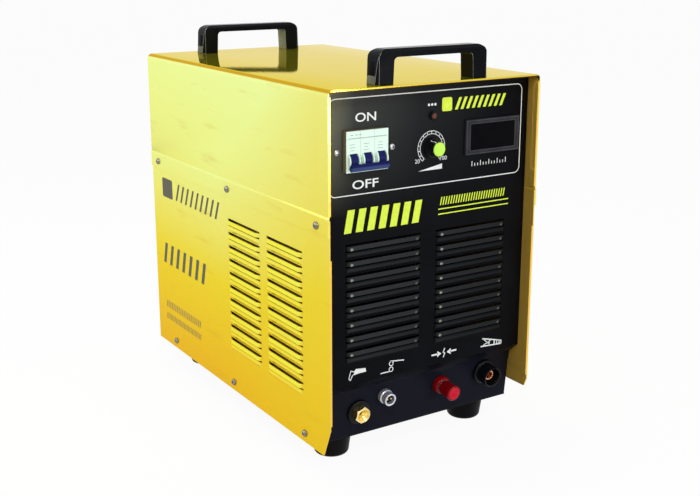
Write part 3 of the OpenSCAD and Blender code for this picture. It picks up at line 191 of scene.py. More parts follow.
# Where the coat and its painted light change, in metres, and how bright the painted reflection makes the
# walls grow.
paintPlaces = {
    "rise": (0.0, 0.45),              # up the walls
    "riseLevels": (-0.397, 1.093),
    "forward": (0.03, -0.22),         # where the rise grows slower towards the front
    "forwardLevels": (1.0, 0.44),
    "baseLevel": 0.305,
    "wallSkin": (0.14355, 0.14415),   # outwards, into the outer skin of the walls
    "top": (0.4405, 0.4418),          # upwards, into the top
    # The bend takes painted shade.
    "bendOut": (0.1385, 0.1410),
    "bendUp": (0.4345, 0.4370),
    # The hood's front lip takes a painted shadow.
    "lipOut": (-0.2466, -0.2474),     # forwards, into the hood's front lip
    "lipUnder": (0.4406, 0.4398),
    "lipUp": (0.432, 0.436),
    # The raised strips take a painted highlight.
    "louvreOut": (0.1446, 0.1466),    # outwards, into the raised strips
    "louvreDown": (0.281, 0.279),
    "topGloss": 0.2,
    "metallic": (0.6, 0.85),
}


def makeCasePaint():
    material, tree, shader = startMaterial("casePaint")
    place, axes = placeAndAxes(tree)
    at = paintPlaces
    # Painted reflection: the outer walls grow from gold to lemon as they rise, more slowly towards the front.
    rise = rangeOf(tree, axes["Z"], *at["rise"], *at["riseLevels"])
    slower = rangeOf(tree, axes["Y"], *at["forward"], *at["forwardLevels"])
    level = mathOf(tree, "ADD", mathOf(tree, "MULTIPLY", rise, slower), at["baseLevel"])
    wall = rampOf(tree, level, [(0.0, paint["low"]), (0.45, paint["middle"]), (1.0, paint["high"])])
    outwards = mathOf(tree, "ABSOLUTE", axes["X"])
    outer = rangeOf(tree, outwards, *at["wallSkin"])
    up = rangeOf(tree, axes["Z"], *at["top"])
    crown = mixOf(tree, up, paint["inside"], paint["crown"])
    # Painted shade on the bend between the top and the walls.
    bendShade = mathOf(tree, "MULTIPLY", rangeOf(tree, outwards, *at["bendOut"]),
                      rangeOf(tree, axes["Z"], *at["bendUp"]))
    bendShaded = mixOf(tree, bendShade, crown, paint["bend"])
    # Painted shadow on the lower part of the hood's front lip.
    lipShadowBand = mathOf(tree, "MULTIPLY", rangeOf(tree, axes["Y"], *at["lipOut"]),
                      rangeOf(tree, axes["Z"], *at["lipUnder"]))
    lipShadowShare = mathOf(tree, "MULTIPLY", lipShadowBand, rangeOf(tree, axes["Z"], *at["lipUp"]))
    lipShadowed = mixOf(tree, lipShadowShare, bendShaded, paint["lip"])
    # Painted highlight on the raised louvre strips.
    proud = mathOf(tree, "MULTIPLY", rangeOf(tree, outwards, *at["louvreOut"]),
                   rangeOf(tree, axes["Z"], *at["louvreDown"], 0.0, 0.9))
    raised = mixOf(tree, proud, wall, paint["raised"])
    base = mixOf(tree, outer, lipShadowed, raised)
    streaks = noiseOf(tree, place, 26.0, 5.0, (1, 0.45, 3.0))
    wearAndGlint = rangeOf(tree, streaks, 0.60, 0.80, 0.0, 0.35)
    tree.links.new(mixOf(tree, wearAndGlint, base, paint["scuff"]), shader.inputs["Base Color"])
    sheen = rangeOf(tree, streaks, 0.3, 0.75, 0.14, 0.26)
    polished = mathOf(tree, "MULTIPLY", sheen, rangeOf(tree, up, 0.0, 1.0, 1.0, at["topGloss"]))
    tree.links.new(polished, shader.inputs["Roughness"])
    tree.links.new(rangeOf(tree, up, 0.0, 1.0, *at["metallic"]), shader.inputs["Metallic"])
    peel = noiseOf(tree, place, 700.0, 2.0)
    tree.links.new(bumpOf(tree, peel, 0.04), shader.inputs["Normal"])
    shader.inputs["Specular IOR Level"].default_value = 0.04
    shader.inputs["Specular Tint"].default_value = srgb(252, 230, 104)
    return material


# A smooth plastic that changes colour across one plane.
def makeZoned(name, first, second, axis, start, end):
    material, tree, shader = startMaterial(name)
    place, axes = placeAndAxes(tree)
    share = rangeOf(tree, axes[axis], start, end)
    patch = noiseOf(tree, place, 80.0, 3.0)
    tree.links.new(mixOf(tree, share, first, second), shader.inputs["Base Color"])
    tree.links.new(rangeOf(tree, patch, 0.3, 0.7, 0.32, 0.42), shader.inputs["Roughness"])
    tree.links.new(bumpOf(tree, noiseOf(tree, place, 2300.0, 2.0), 0.08), shader.inputs["Normal"])
    shader.inputs["Specular IOR Level"].default_value = 0.05
    return material


# Black coat of the front panel: painted reflection pales it towards its upper left and on the leaning part,
# and painted highlight pales the raised louvres and lights a small dot at both ends of each louvre.
panelShade = {
    "flat": (srgb(8, 9, 12), srgb(12, 13, 17)),
    # Painted reflection from the upper left across the panel.
    "corner": srgb(100, 102, 88),
    "beside": srgb(58, 60, 58),
    "middle": srgb(30, 32, 34),
    # Painted highlight on the raised louvres.
    "louvre": srgb(46, 49, 50),
    # Painted reflection on the leaning part.
    "leaning": srgb(24, 25, 36),
    # Painted highlight dot at the louvres' ends.
    "wearAndGlint": srgb(150, 150, 138),
}

# Where it changes, in metres.
panelPlaces = {
    "reflectionAcross": (-0.128, 0.10),
    "reflectionUp": (0.30, 0.40),
    "leaningDown": (0.101, 0.094),
    "louvreOut": (-0.2305, -0.2322),
    "louvreAcross": (-0.10, 0.10),
    "dotOut": (-0.2325, -0.2329),
    "dotWide": 0.0032,
    "dotTall": 0.0019,
    "bankPitch": 0.1236,
    "bankMiddle": (0.060, 0.064),
    "bend": 0.0168,
    "rowPitch": 0.0176,
    "rowStart": 0.005,
    "bendRow": 0.0044,
}


def makePanelCoat():
    material, tree, shader = startMaterial("panelCoat")
    place, axes = placeAndAxes(tree)
    at = panelPlaces
    patch = noiseOf(tree, place, 18.0, 4.0)
    flat = rampOf(tree, patch, [(0.35, panelShade["flat"][0]), (0.65, panelShade["flat"][1])])
    # Painted reflection, pale at the upper left and fading to black towards the right.
    paintedReflection = rampOf(tree, rangeOf(tree, axes["X"], *at["reflectionAcross"]),
                   [(0.0, panelShade["corner"]), (0.12, panelShade["beside"]),
                    (0.5, panelShade["middle"]), (1.0, panelShade["flat"][0])])
    upper = mixOf(tree, rangeOf(tree, axes["Z"], *at["reflectionUp"]), flat, paintedReflection)
    # Paler painted reflection on the leaning part below the fold.
    low = rangeOf(tree, axes["Z"], *at["leaningDown"], 0.0, 0.8)
    lowered = mixOf(tree, low, upper, panelShade["leaning"])
    # Painted highlight on the raised louvres, fading towards the right.
    proud = mathOf(tree, "MULTIPLY", rangeOf(tree, axes["Y"], *at["louvreOut"]),
                   rangeOf(tree, axes["X"], *at["louvreAcross"], 1.0, 0.45))
    banks = mixOf(tree, proud, lowered, panelShade["louvre"])
    # Painted highlight in a small dot at both ends of each louvre, fainter at the right end.
    inBank = mathOf(tree, "FLOORED_MODULO", axes["X"], at["bankPitch"])
    fromStart = mathOf(tree, "ADD", axes["Z"], at["rowStart"])
    inRow = mathOf(tree, "FLOORED_MODULO", fromStart, at["rowPitch"])
    fromMiddle = mathOf(tree, "ABSOLUTE", mathOf(tree, "SUBTRACT", inBank, at["bankPitch"] / 2))
    halfBank = at["bankPitch"] / 2 - at["bend"]
    sideways = mathOf(tree, "DIVIDE", mathOf(tree, "SUBTRACT", fromMiddle, halfBank), at["dotWide"])
    upwards = mathOf(tree, "DIVIDE", mathOf(tree, "SUBTRACT", inRow, at["bendRow"]), at["dotTall"])
    spread = mathOf(tree, "ADD", mathOf(tree, "POWER", sideways, 2.0), mathOf(tree, "POWER", upwards, 2.0))
    wearAndGlint = mathOf(tree, "MULTIPLY", rangeOf(tree, spread, 1.2, 0.1), rangeOf(tree, axes["Y"], *at["dotOut"]))
    fainter = mathOf(tree, "MULTIPLY", wearAndGlint, rangeOf(tree, inBank, *at["bankMiddle"], 1.0, 0.3))
    tree.links.new(mixOf(tree, fainter, banks, panelShade["wearAndGlint"]), shader.inputs["Base Color"])
    tree.links.new(rangeOf(tree, patch, 0.3, 0.7, 0.34, 0.42), shader.inputs["Roughness"])
    grain = noiseOf(tree, place, 2200.0, 2.0)
    tree.links.new(bumpOf(tree, grain, 0.3), shader.inputs["Normal"])
    shader.inputs["Specular IOR Level"].default_value = 0.03
    return material


# Settings that several finishes share.
satinBlack = {"Specular IOR Level": 0.05}
glossBlack = {"Specular IOR Level": 0.05, "Coat Weight": 0.02, "Coat Roughness": 0.05}
metal = {"Metallic": 1.0}
satinMetal = {"Metallic": 0.72}

# Handle plastic, with a painted highlight along its upright edges and a painted reflection on the inner faces
# of the rear legs.
handleColourAndPaintedLight = {
    "black": (srgb(5, 6, 10), srgb(9, 11, 16)),
    # Painted highlight on the upright edges.
    "edgeHighlight": srgb(214, 216, 210),
    # Painted reflection on the inner faces of the rear legs.
    "inner": srgb(128, 130, 114),
    "edgeBegins": (0.12, 0.26),       # how far the face is turned between front and side
    "edgeEnds": (0.38, 0.46),
    "facingIn": (-0.85, -0.95),
    "behind": (0.0, 0.1),
}


def makeHandlePlastic():
    tones = handleColourAndPaintedLight
    material = makeFinish("handlePlastic", tones["black"], (0.14, 0.2), 40.0, 1600.0, 0.05, sockets=glossBlack)
    tree = material.node_tree
    coloured = next(link for link in tree.links if link.to_socket.name == "Base Color")
    shade, target = coloured.from_socket, coloured.to_socket
    axes = placeAndAxes(tree)[1]
    normal = addNode(tree, "ShaderNodeNewGeometry").outputs["Normal"]
    facing = addNode(tree, "ShaderNodeSeparateXYZ", {"Vector": normal}).outputs
    # Painted highlight where the face turns between front and side, along the upright edges.
    corner = mathOf(tree, "ABSOLUTE", mathOf(tree, "MULTIPLY", facing["X"], facing["Y"]))
    onEdge = mathOf(tree, "MULTIPLY", rangeOf(tree, corner, *tones["edgeBegins"]),
                    rangeOf(tree, corner, *tones["edgeEnds"], 1.0, 0.0))
    edgeHighlight = mixOf(tree, onEdge, shade, tones["edgeHighlight"])
    # Painted reflection on the inward faces of the rear legs.
    inwards = mathOf(tree, "MULTIPLY", facing["X"], mathOf(tree, "SIGN", axes["X"]))
    inner = mathOf(tree, "MULTIPLY", rangeOf(tree, inwards, *tones["facingIn"]),
                   rangeOf(tree, axes["Y"], *tones["behind"]))
    tree.links.new(mixOf(tree, inner, edgeHighlight, tones["inner"]), target)
    return material


casePaint = makeCasePaint()
panelCoat = makePanelCoat()
rearCoat = makeFinish("rearCoat", (srgb(22, 22, 25), srgb(30, 30, 34)), (0.42, 0.52), 18.0, 2200.0, 0.3,
                      sockets=satinBlack)
handlePlastic = makeHandlePlastic()
# Black of the painted shade in the handle legs' channels.
channelShadeBlack = makeFinish("channelShadeBlack", (srgb(4, 5, 7), srgb(7, 8, 10)), (0.3, 0.4), 40.0, 1600.0, 0.05,
                       sockets={"Specular IOR Level": 0.02})
# Grey of the painted reflection low on the handle legs.
legReflectionGrey = makeFinish("legReflectionGrey", (srgb(84, 86, 80), srgb(100, 102, 94)), (0.4, 0.5), 60.0, 1600.0, 0.1,
                       sockets=satinBlack)
blackPlastic = makeFinish("blackPlastic", (srgb(10, 11, 14), srgb(16, 17, 21)), (0.24, 0.34), 60.0, 1800.0,
                          0.12, sockets={"Specular IOR Level": 0.14})
footRubber = makeFinish("footRubber", (srgb(9, 9, 12), srgb(17, 17, 20)), (0.30, 0.48), 50.0, 1300.0, 0.25,
                        sockets=glossBlack)
# The breaker's face keeps its own colour; its sides, behind the face, get painted shade.
breakerShell = makeZoned("breakerShell", srgb(228, 252, 238), srgb(128, 124, 96), "Y", -0.2357, -0.2348)
toggleBlue = makeZoned("toggleBlue", srgb(26, 34, 92), srgb(58, 72, 124), "Z", 0.3572, 0.3560)
knobLime = makeFinish("knobLime", (srgb(188, 244, 86), srgb(202, 252, 100)), (0.25, 0.35), 90.0, 1500.0, 0.05,
                      sockets=satinBlack)
meterBezel = makeFinish("meterBezel", (srgb(42, 42, 46), srgb(50, 50, 54)), (0.36, 0.46), 70.0, 2600.0, 0.15,
                        sockets=satinBlack)
meterLine = makeFinish("meterLine", (srgb(60, 62, 66), srgb(72, 74, 78)), (0.3, 0.4), 70.0, 2600.0, 0.05,
                       sockets=satinBlack)
meterGlass = makeFinish("meterGlass", (srgb(5, 5, 8), srgb(8, 7, 11)), (0.05, 0.09), 60.0, 900.0, 0.01,
                        sockets={"Specular IOR Level": 0.03})
lampBrown = makeFinish("lampBrown", (srgb(66, 30, 18), srgb(104, 54, 34)), (0.06, 0.12), 300.0, 900.0, 0.02,
                       sockets={"Specular IOR Level": 0.25})
brassBright = makeFinish("brassBright", (srgb(236, 208, 126), srgb(248, 232, 168)), (0.24, 0.36), 220.0,
                         1800.0, 0.08, sockets=metal)
chromePlate = makeFinish("chromePlate", (srgb(198, 200, 212), srgb(222, 224, 234)), (0.3, 0.4), 260.0, 900.0,
                         0.03, sockets=satinMetal)
copperTone = makeFinish("copperTone", (srgb(236, 168, 120), srgb(250, 198, 156)), (0.26, 0.4), 300.0, 1500.0,
                        0.08, sockets=metal)
terminalRed = makeFinish("terminalRed", (srgb(118, 4, 10), srgb(134, 8, 16)), (0.14, 0.22), 80.0, 1500.0,
                         0.04, sockets={"Specular IOR Level": 0.14})
terminalFace = makeFinish("terminalFace", (srgb(196, 26, 46), srgb(208, 36, 56)), (0.3, 0.4), 120.0, 1500.0,
                          0.06, sockets=satinBlack)
screwSteel = makeFinish("screwSteel", (srgb(110, 106, 96), srgb(146, 142, 132)), (0.2, 0.34), 400.0, 2600.0,
                        0.1, sockets=metal)
zincSteel = makeFinish("zincSteel", (srgb(176, 178, 180), srgb(202, 204, 206)), (0.26, 0.4), 120.0, 2200.0,
                       0.1, sockets=metal)
sinkBlack = makeFinish("sinkBlack", (srgb(24, 24, 26), srgb(34, 34, 37)), (0.4, 0.5), 80.0, 1400.0, 0.12,
                       (1, 6, 1), satinBlack)
boardGreen = makeFinish("boardGreen", (srgb(24, 84, 48), srgb(30, 98, 58)), (0.3, 0.4), 120.0, 1200.0, 0.1)
coreDark = makeFinish("coreDark", (srgb(44, 44, 46), srgb(60, 58, 58)), (0.5, 0.7), 90.0, 900.0, 0.3,
                      (1, 30, 1))
hoseGrey = makeFinish("hoseGrey", (srgb(52, 54, 60), srgb(64, 66, 72)), (0.45, 0.6), 80.0, 1200.0, 0.2)
sleeveBlue = makeFinish("sleeveBlue", (srgb(34, 44, 66), srgb(42, 54, 78)), (0.25, 0.35), 90.0, 900.0, 0.05)
# Brown of the insulating sheets, also standing in for the shade seen through the side louvres.
paperBrown = makeFinish("paperBrown", (srgb(84, 64, 30), srgb(98, 76, 38)), (0.7, 0.8), 60.0, 900.0, 0.2,
                        sockets=satinBlack)


# Inks lie as thin plates on the coat and differ in colour alone.
def makeInk(name, first, second):
    return makeFinish(name, (first, second), (0.4, 0.5), 200.0, 2400.0, 0.05)


printWhite = makeInk("printWhite", srgb(222, 228, 226), srgb(234, 238, 236))
printLime = makeInk("printLime", srgb(206, 230, 30), srgb(218, 240, 48))
printGrey = makeInk("printGrey", srgb(52, 48, 18), srgb(68, 62, 28))
printFaint = makeInk("printFaint", srgb(128, 150, 130), srgb(146, 166, 146))

print("materials ready")


# Shape helpers; shapes are in millimetres until finishPiece makes them metres.
def revolve(profile, steps=64):
    shape = bmesh.new()
    ring = [shape.verts.new((radius, 0, height)) for radius, height in profile]
    edges = [shape.edges.new(pair) for pair in zip(ring, ring[1:])]
    bmesh.ops.spin(shape, geom=ring + edges, cent=(0, 0, 0), axis=(0, 0, 1), dvec=(0, 0, 0),
                   angle=math.tau, steps=steps, use_merge=True, use_duplicate=False)
    bmesh.ops.remove_doubles(shape, verts=shape.verts, dist=0.002)
    bmesh.ops.recalc_face_normals(shape, faces=shape.faces)
    return shape


def raiseFaces(shape, height):
    grown = bmesh.ops.extrude_face_region(shape, geom=shape.faces[:])["geom"]
    raised = [item for item in grown if isinstance(item, bmesh.types.BMVert)]
    bmesh.ops.translate(shape, verts=raised, vec=(0, 0, height))
    bmesh.ops.recalc_face_normals(shape, faces=shape.faces)
    return shape


def plate(points, bottom, top):
    shape = bmesh.new()
    shape.faces.new([shape.verts.new((x, y, bottom)) for x, y in points])
    return raiseFaces(shape, top - bottom)


def block(size, centre=(0, 0, 0), edge=0.0, segments=3):
    shape = bmesh.new()
    spread = Matrix.Translation(centre) @ Matrix.Diagonal((*size, 1))
    bmesh.ops.create_cube(shape, size=1.0, matrix=spread)
    if edge:
        bmesh.ops.bevel(shape, geom=list(shape.edges), offset=edge, offset_type="OFFSET", segments=segments,
                        profile=0.5, affect="EDGES", material=-1)
    return shape


# Corner points of a box whose corners are arcs.
def roundedBox(width, height, radius, steps=6):
    points = []
    for quarter, (sideways, upwards) in enumerate(((1, 1), (-1, 1), (-1, -1), (1, -1))):
        middle = (sideways * (width / 2 - radius), upwards * (height / 2 - radius))
        for step in range(steps + 1):
            angle = math.pi / 2 * (quarter + step / steps)
            points.append((middle[0] + radius * math.cos(angle), middle[1] + radius * math.sin(angle)))
    return points


def ringPlate(width, height, corner, line, bottom, top):
    shape = bmesh.new()
    loops = []
    for inset in (0.0, line):
        outline = roundedBox(width - 2 * inset, height - 2 * inset, corner - inset)
        ring = [shape.verts.new((x, y, bottom)) for x, y in outline]
        loops += [shape.edges.new(pair) for pair in zip(ring, ring[1:] + ring[:1])]
    bmesh.ops.bridge_loops(shape, edges=loops)
    return raiseFaces(shape, top - bottom)


# Flat band between two radii; angles are in degrees, clockwise from the top.
def arcPlate(inner, outer, start, sweep, steps, bottom, top):
    shape = bmesh.new()
    across, upwards = math.sin(math.radians(start)), math.cos(math.radians(start))
    ends = [shape.verts.new((radius * across, radius * upwards, bottom)) for radius in (inner, outer)]
    edge = shape.edges.new(ends)
    bmesh.ops.spin(shape, geom=[*ends, edge], cent=(0, 0, 0), axis=(0, 0, -1), dvec=(0, 0, 0),
                   angle=math.radians(sweep), steps=steps, use_merge=abs(sweep) == 360, use_duplicate=False)
    return raiseFaces(shape, top - bottom)


def addShape(target, part, place=None):
    if place is not None:
        part.transform(place)
        if place.determinant() < 0:
            bmesh.ops.reverse_faces(part, faces=part.faces)
    carrier = bpy.data.meshes.new("carrier")
    part.to_mesh(carrier)
    part.free()
    target.from_mesh(carrier)
    bpy.data.meshes.remove(carrier)


def softenEdges(piece, edge, sharp=30, segments=2):
    soft = piece.modifiers.new("soft edges", "BEVEL")
    soft.width = edge * 0.001
    soft.segments = segments
    soft.limit_method = "ANGLE"
    soft.angle_limit = math.radians(sharp)
    soft.harden_normals = True


def pieceFrom(shape, name, material, body, sharp, edge, segments, replaced):
    mesh = bpy.data.meshes.new(name)
    shape.to_mesh(mesh)
    shape.free()
    mesh.materials.clear()
    mesh.materials.append(material)
    mesh.polygons.foreach_set("use_smooth", [True] * len(mesh.polygons))
    mesh.set_sharp_from_angle(angle=math.radians(sharp))
    piece = bpy.data.objects.new(name, mesh)
    bpy.context.scene.collection.objects.link(piece)
    if edge:
        softenEdges(piece, edge, sharp, segments)
    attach(piece, body)
    if replaced:
        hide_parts(*replaced)
    return piece


def finishPiece(shape, name, material, body="case", place=None, sharp=30, edge=0.0, segments=2, replaced=()):
    toMetres = Matrix.Scale(0.001, 4)
    shape.transform(toMetres @ place if place is not None else toMetres)
    return pieceFrom(shape, name, material, body, sharp, edge, segments, replaced)


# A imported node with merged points, flat faces joined again and softened edges.
def softCopy(node, material, edge, body="case", sharp=28, segments=2):
    shape = bmesh.new()
    shape.from_mesh(nodes[node].data)
    bmesh.ops.remove_doubles(shape, verts=shape.verts, dist=0.00001)
    bmesh.ops.dissolve_limit(shape, angle_limit=math.radians(0.8), verts=shape.verts, edges=shape.edges)
    for face in shape.faces:
        face.material_index = 0
    return pieceFrom(shape, node + "_finished", material, body, sharp, edge, segments, (node,))


def dress(material, *names):
    for name in names:
        for slot in nodes[name].material_slots:
            slot.material = material


# The part of a shape that another shape doesn't fill.
def cutFrom(shape, tool):
    holders = []
    for part in (shape, tool):
        mesh = bpy.data.meshes.new("cutting")
        part.to_mesh(mesh)
        part.free()
        holder = bpy.data.objects.new("cutting", mesh)
        bpy.context.scene.collection.objects.link(holder)
        holders.append(holder)
    cut = holders[0].modifiers.new("cut", "BOOLEAN")
    cut.operation = "DIFFERENCE"
    cut.solver = "EXACT"
    cut.object = holders[1]
    result = bmesh.new()
    graph = bpy.context.evaluated_depsgraph_get()
    result.from_object(holders[0], graph)
    for holder in holders:
        mesh = holder.data
        bpy.data.objects.remove(holder)
        bpy.data.meshes.remove(mesh)
    return result


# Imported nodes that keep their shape: those seen only through the louvres or from below.
dress(rearCoat, "base_tray", "shelf")
dress(blackPlastic, "current_control", "control_socket_insert", "gland_locknut", "arc_starter")
dress(brassBright, "control_socket_pins", "gas_valve", "control_shaft")
dress(copperTone, "transformer_winding", "output_choke")
dress(screwSteel, "handle_bolts")
dress(zincSteel, "breaker_bracket", "control_nut", "torch_locknut", "control_socket_nut", "work_socket_nut")
dress(sinkBlack, "heat_sinks")
dress(boardGreen, "power_board", "control_board")
dress(sleeveBlue, "bus_capacitors")
dress(coreDark, "transformer_core")
dress(hoseGrey, "air_hose")
print("inner nodes dressed")

# Sheet metal of the case, with the soft edges that powder coat leaves.
sheetMetal = {"cover": 0.35, "wall": 0.3, "sharp": 14}

softCopy("top_cover", casePaint, sheetMetal["cover"], sharp=sheetMetal["sharp"])
softCopy("left_side_panel", casePaint, sheetMetal["wall"], sharp=sheetMetal["sharp"])
softCopy("right_side_panel", casePaint, sheetMetal["wall"], sharp=sheetMetal["sharp"])
softCopy("front_panel", panelCoat, sheetMetal["wall"], sharp=sheetMetal["sharp"])
softCopy("rear_panel", rearCoat, sheetMetal["wall"], sharp=sheetMetal["sharp"])
print("sheet metal softened")

# Insulating sheets that stand inside the side walls, with a folded lip at the top; they also darken the view
# through the side louvres, standing in for the shade there.
insulation = {
    "front": 42.0, "rear": 446.0, "low": 3.0, "high": 250.0,
    "in": 6.5,            # how far inside the wall's inner face
    "thick": 0.6, "lip": 9.0, "edge": 0.2,
}


def makeInsulation(side):
    thick, lip = insulation["thick"], insulation["lip"]
    length = insulation["rear"] - insulation["front"]
    tall = insulation["high"] - insulation["low"]
    sheet = block((length, tall, thick), (0, tall / 2, 0))
    addShape(sheet, block((length, thick, lip), (0, tall, -lip / 2)))
    middle = (insulation["rear"] + insulation["front"]) / 2
    drop = case["topZ"] - case["footHeight"] - case["sheet"] - insulation["low"]
    place = onSide(side, middle, drop, case["sideIn"] - insulation["in"])
    name = "left_insulating_sheet" if side < 0 else "right_insulating_sheet"
    finishPiece(sheet, name, paperBrown, place=place, edge=insulation["edge"])


makeInsulation(-1)
makeInsulation(1)

# Pan-head screws with a cross recess.
screwHead = {
    "radius": 4.4, "height": 3.0, "shank": 2.0, "length": 7.0,
    "slot": 1.1, "reach": 4.6, "deep": 1.5,      # width, length and depth of the recess
}


def makeScrew(screw):
    radius, height = screw["radius"], screw["height"]
    shank, length = screw["shank"], screw["length"]
    head = revolve([(0, height), (radius * 0.35, height * 0.98), (radius * 0.66, height * 0.86),
                    (radius * 0.88, height * 0.60), (radius, height * 0.26), (radius, 0.0), (shank, 0.0),
                    (shank, -length + 0.8), (shank - 0.8, -length), (0, -length)], 40)
    for quarter in (0, 90):
        size = (screw["reach"], screw["slot"], screw["deep"] + 1.0)
        arm = block(size, (0, 0, height - screw["deep"] / 2 + 0.5))
        low = [vert for vert in arm.verts if vert.co.z < height - 0.5]
        bmesh.ops.scale(arm, verts=low, vec=(0.45, 0.7, 1))
        arm.transform(turned(quarter))
        head = cutFrom(head, arm)
    return head


def copyTo(source, places):
    gathered = bmesh.new()
    for place in places:
        addShape(gathered, source.copy(), place)
    source.free()
    return gathered


# The row in the cover's lap and the row along the bottom of each side.
screwRows = {
    "lap": {"depths": (24.5, 240.0, 455.5), "drop": 147.5, "out": case["lapOut"], "turn": 25, "step": 35},
    "low": {"depths": (56.0, 238.0, 420.0), "drop": 403.0, "out": case["sideOut"], "turn": 10, "step": 50},
}
screwPlaces = []
for side in (-1, 1):
    for row in screwRows.values():
        for count, depth in enumerate(row["depths"]):
            place = onSide(side, depth, row["drop"], row["out"])
            screwPlaces.append(place @ turned(row["turn"] + row["step"] * count))
finishPiece(copyTo(makeScrew(screwHead), screwPlaces), "case_screw_heads", screwSteel, sharp=34,
            replaced=("case_screws",))
print("screws driven")

# Moulded carrying handles and feet.
handle = {
    "edge": 1.3, "x": -4.0, "halfWide": 76.5,
    "flare": 5.26,                    # lean of the legs in degrees
    "middles": (18.25, 446.75),
    # Plate for the painted reflection low on each leg.
    "cover": (15.4, 9.4, 0.5),        # wide, tall and thick
    # Plate for the painted shade of each leg's channel.
    "channel": (11.0, 15.0, 0.3),
    "gap": 0.3,
}

for name in ("front_handle", "rear_handle"):
    softCopy(name, handlePlastic, handle["edge"], segments=3, sharp=20)


# Grey plates low on the outer side of each leg, a painted reflection, and dark plates above each, the painted
# shade of the channel.
def makeLegPlates(name, size, start, material):
    plates = bmesh.new()
    wide, tall, thick = size
    for side in (-1, 1):
        for depth in handle["middles"]:
            part = block((thick, wide, tall), (0, 0, start + tall / 2), 0.12, 2)
            place = moved(handle["x"] + side * handle["halfWide"], case["frontY"] + depth, case["topZ"])
            addShape(plates, part, place @ turned(-side * handle["flare"], "Y"))
    finishPiece(plates, name, material)


makeLegPlates("handle_leg_painted_reflections", handle["cover"], handle["gap"], legReflectionGrey)
makeLegPlates("handle_leg_channel_shade", handle["channel"], handle["cover"][1] + handle["gap"], channelShadeBlack)

feet = {"edge": 0.8, "boltEdge": 0.3}
softCopy("rubber_feet", footRubber, feet["edge"], segments=3)
softCopy("foot_bolts", screwSteel, feet["boltEdge"])
print("handles and feet finished")

# Three-pole breaker: shell, cheeks beside each toggle, printed lines and the toggles with their tie bar.
breaker = {
    "x": -88.0, "drop": 69.5, "out": 6.0, "pole": 18.0, "toggleLow": 10.0, "edge": 0.5,
    "cheekRadius": 10.1, "cheekIn": 5.3, "cheekThick": 1.7, "cheekEdge": 0.4,
    "cheekFlat": 4.5,                 # where the disc is cut off, behind the shell's face
    "toggleEdge": 0.7,
}


def onBreaker(x=0.0, y=0.0, out=0.0):
    return onFront(breaker["x"] + x, breaker["drop"] - y, out)


def makeBreaker():
    softCopy("breaker_body", breakerShell, breaker["edge"])
    radius, thick = breaker["cheekRadius"], breaker["cheekThick"]
    cheeks = bmesh.new()
    for pole in (-1, 0, 1):
        for hand in (-1, 1):
            disc = revolve([(0, 0), (radius, 0), (radius, thick), (0, thick)], 64)
            everything = [*disc.verts, *disc.edges, *disc.faces]
            bmesh.ops.bisect_plane(disc, geom=everything, plane_co=(breaker["cheekFlat"], 0, 0),
                                   plane_no=(-1, 0, 0), clear_outer=True)
            rim = [edge for edge in disc.edges if edge.is_boundary]
            bmesh.ops.contextual_create(disc, geom=rim)
            bmesh.ops.recalc_face_normals(disc, faces=disc.faces)
            inside = breaker["cheekIn"] if hand > 0 else -breaker["cheekIn"] - thick
            place = moved(pole * breaker["pole"] + inside, -breaker["toggleLow"])
            addShape(cheeks, disc, place @ turned(90, "Y") @ turned(180))
    finishPiece(cheeks, "breaker_cheeks", breakerShell, place=onBreaker(), edge=breaker["cheekEdge"])


# Faint lines and dashes on the breaker's face.
breakerMarks = {
    "widths": (7.0, 4.5, 6.0), "first": 8.0, "rowDrop": 3.2, "lineTall": 0.5, "left": 1.5, "thick": 0.1,
    "dashes": (-20.0, -14.0, -9.5), "dash": (3.0, 0.7), "dashUp": 18.2,
    "rule": (49.0, 0.45), "ruleUp": 14.8,
    "ovals": (-9.0, 9.0), "ovalRadius": 1.3, "ovalThick": 0.12, "ovalSunk": 0.04, "ovalStretch": 2.4,
}


def makeBreakerMarks():
    marks = bmesh.new()
    m, out = breakerMarks, breaker["out"]
    for pole in (-1, 0, 1):
        for row in range(3):
            size = (m["widths"][(row + pole) % 3], m["lineTall"], m["thick"])
            centre = (pole * breaker["pole"] - m["left"], m["first"] - m["rowDrop"] * row, out)
            addShape(marks, block(size, centre))
    for x in m["dashes"]:
        addShape(marks, block((*m["dash"], m["thick"]), (x, m["dashUp"], out)))
    addShape(marks, block((*m["rule"], m["thick"]), (0, m["ruleUp"], out)))
    for x in m["ovals"]:
        radius, thick = m["ovalRadius"], m["ovalThick"]
        oval = revolve([(0, 0), (radius, 0), (radius, thick), (0, thick)], 24)
        place = moved(x, -breaker["toggleLow"] + 1.0, out - m["ovalSunk"])
        oval.transform(place @ Matrix.Diagonal((1, m["ovalStretch"], 1, 1)))
        addShape(marks, oval)
    finishPiece(marks, "breaker_marks", printFaint, place=onBreaker())


makeBreaker()
makeBreakerMarks()
softCopy("breaker_toggle", toggleBlue, breaker["toggleEdge"], body="toggles", segments=3)

breakerScrew = {
    "radius": 3.8, "height": 2.6, "shank": 2.0, "length": 7.0,
    "slot": 1.7, "reach": 4.8, "deep": 1.9,
    "pitch": 71.6, "turn": 20,
}
besideBreaker = []
for side in (-1, 1):
    besideBreaker.append(onBreaker(side * breakerScrew["pitch"] / 2) @ turned(breakerScrew["turn"] * side))
finishPiece(copyTo(makeScrew(breakerScrew), besideBreaker), "breaker_screw_heads", zincSteel, sharp=34,
            replaced=("breaker_screws",))
print("breaker finished")

# Current knob with its white pointer, the indicator lamp and the meter.
knob = {
    "x": 2.0, "drop": 75.7, "skirt": 11.0, "radius": 8.5, "off": 3.2, "high": 11.5,
    "rest": 30.0,                     # turn of the pointer from upright, in degrees
    "pointerWide": 1.0, "pointerEdge": 0.1,
    "edge": 0.35, "capEdge": 0.4,
}


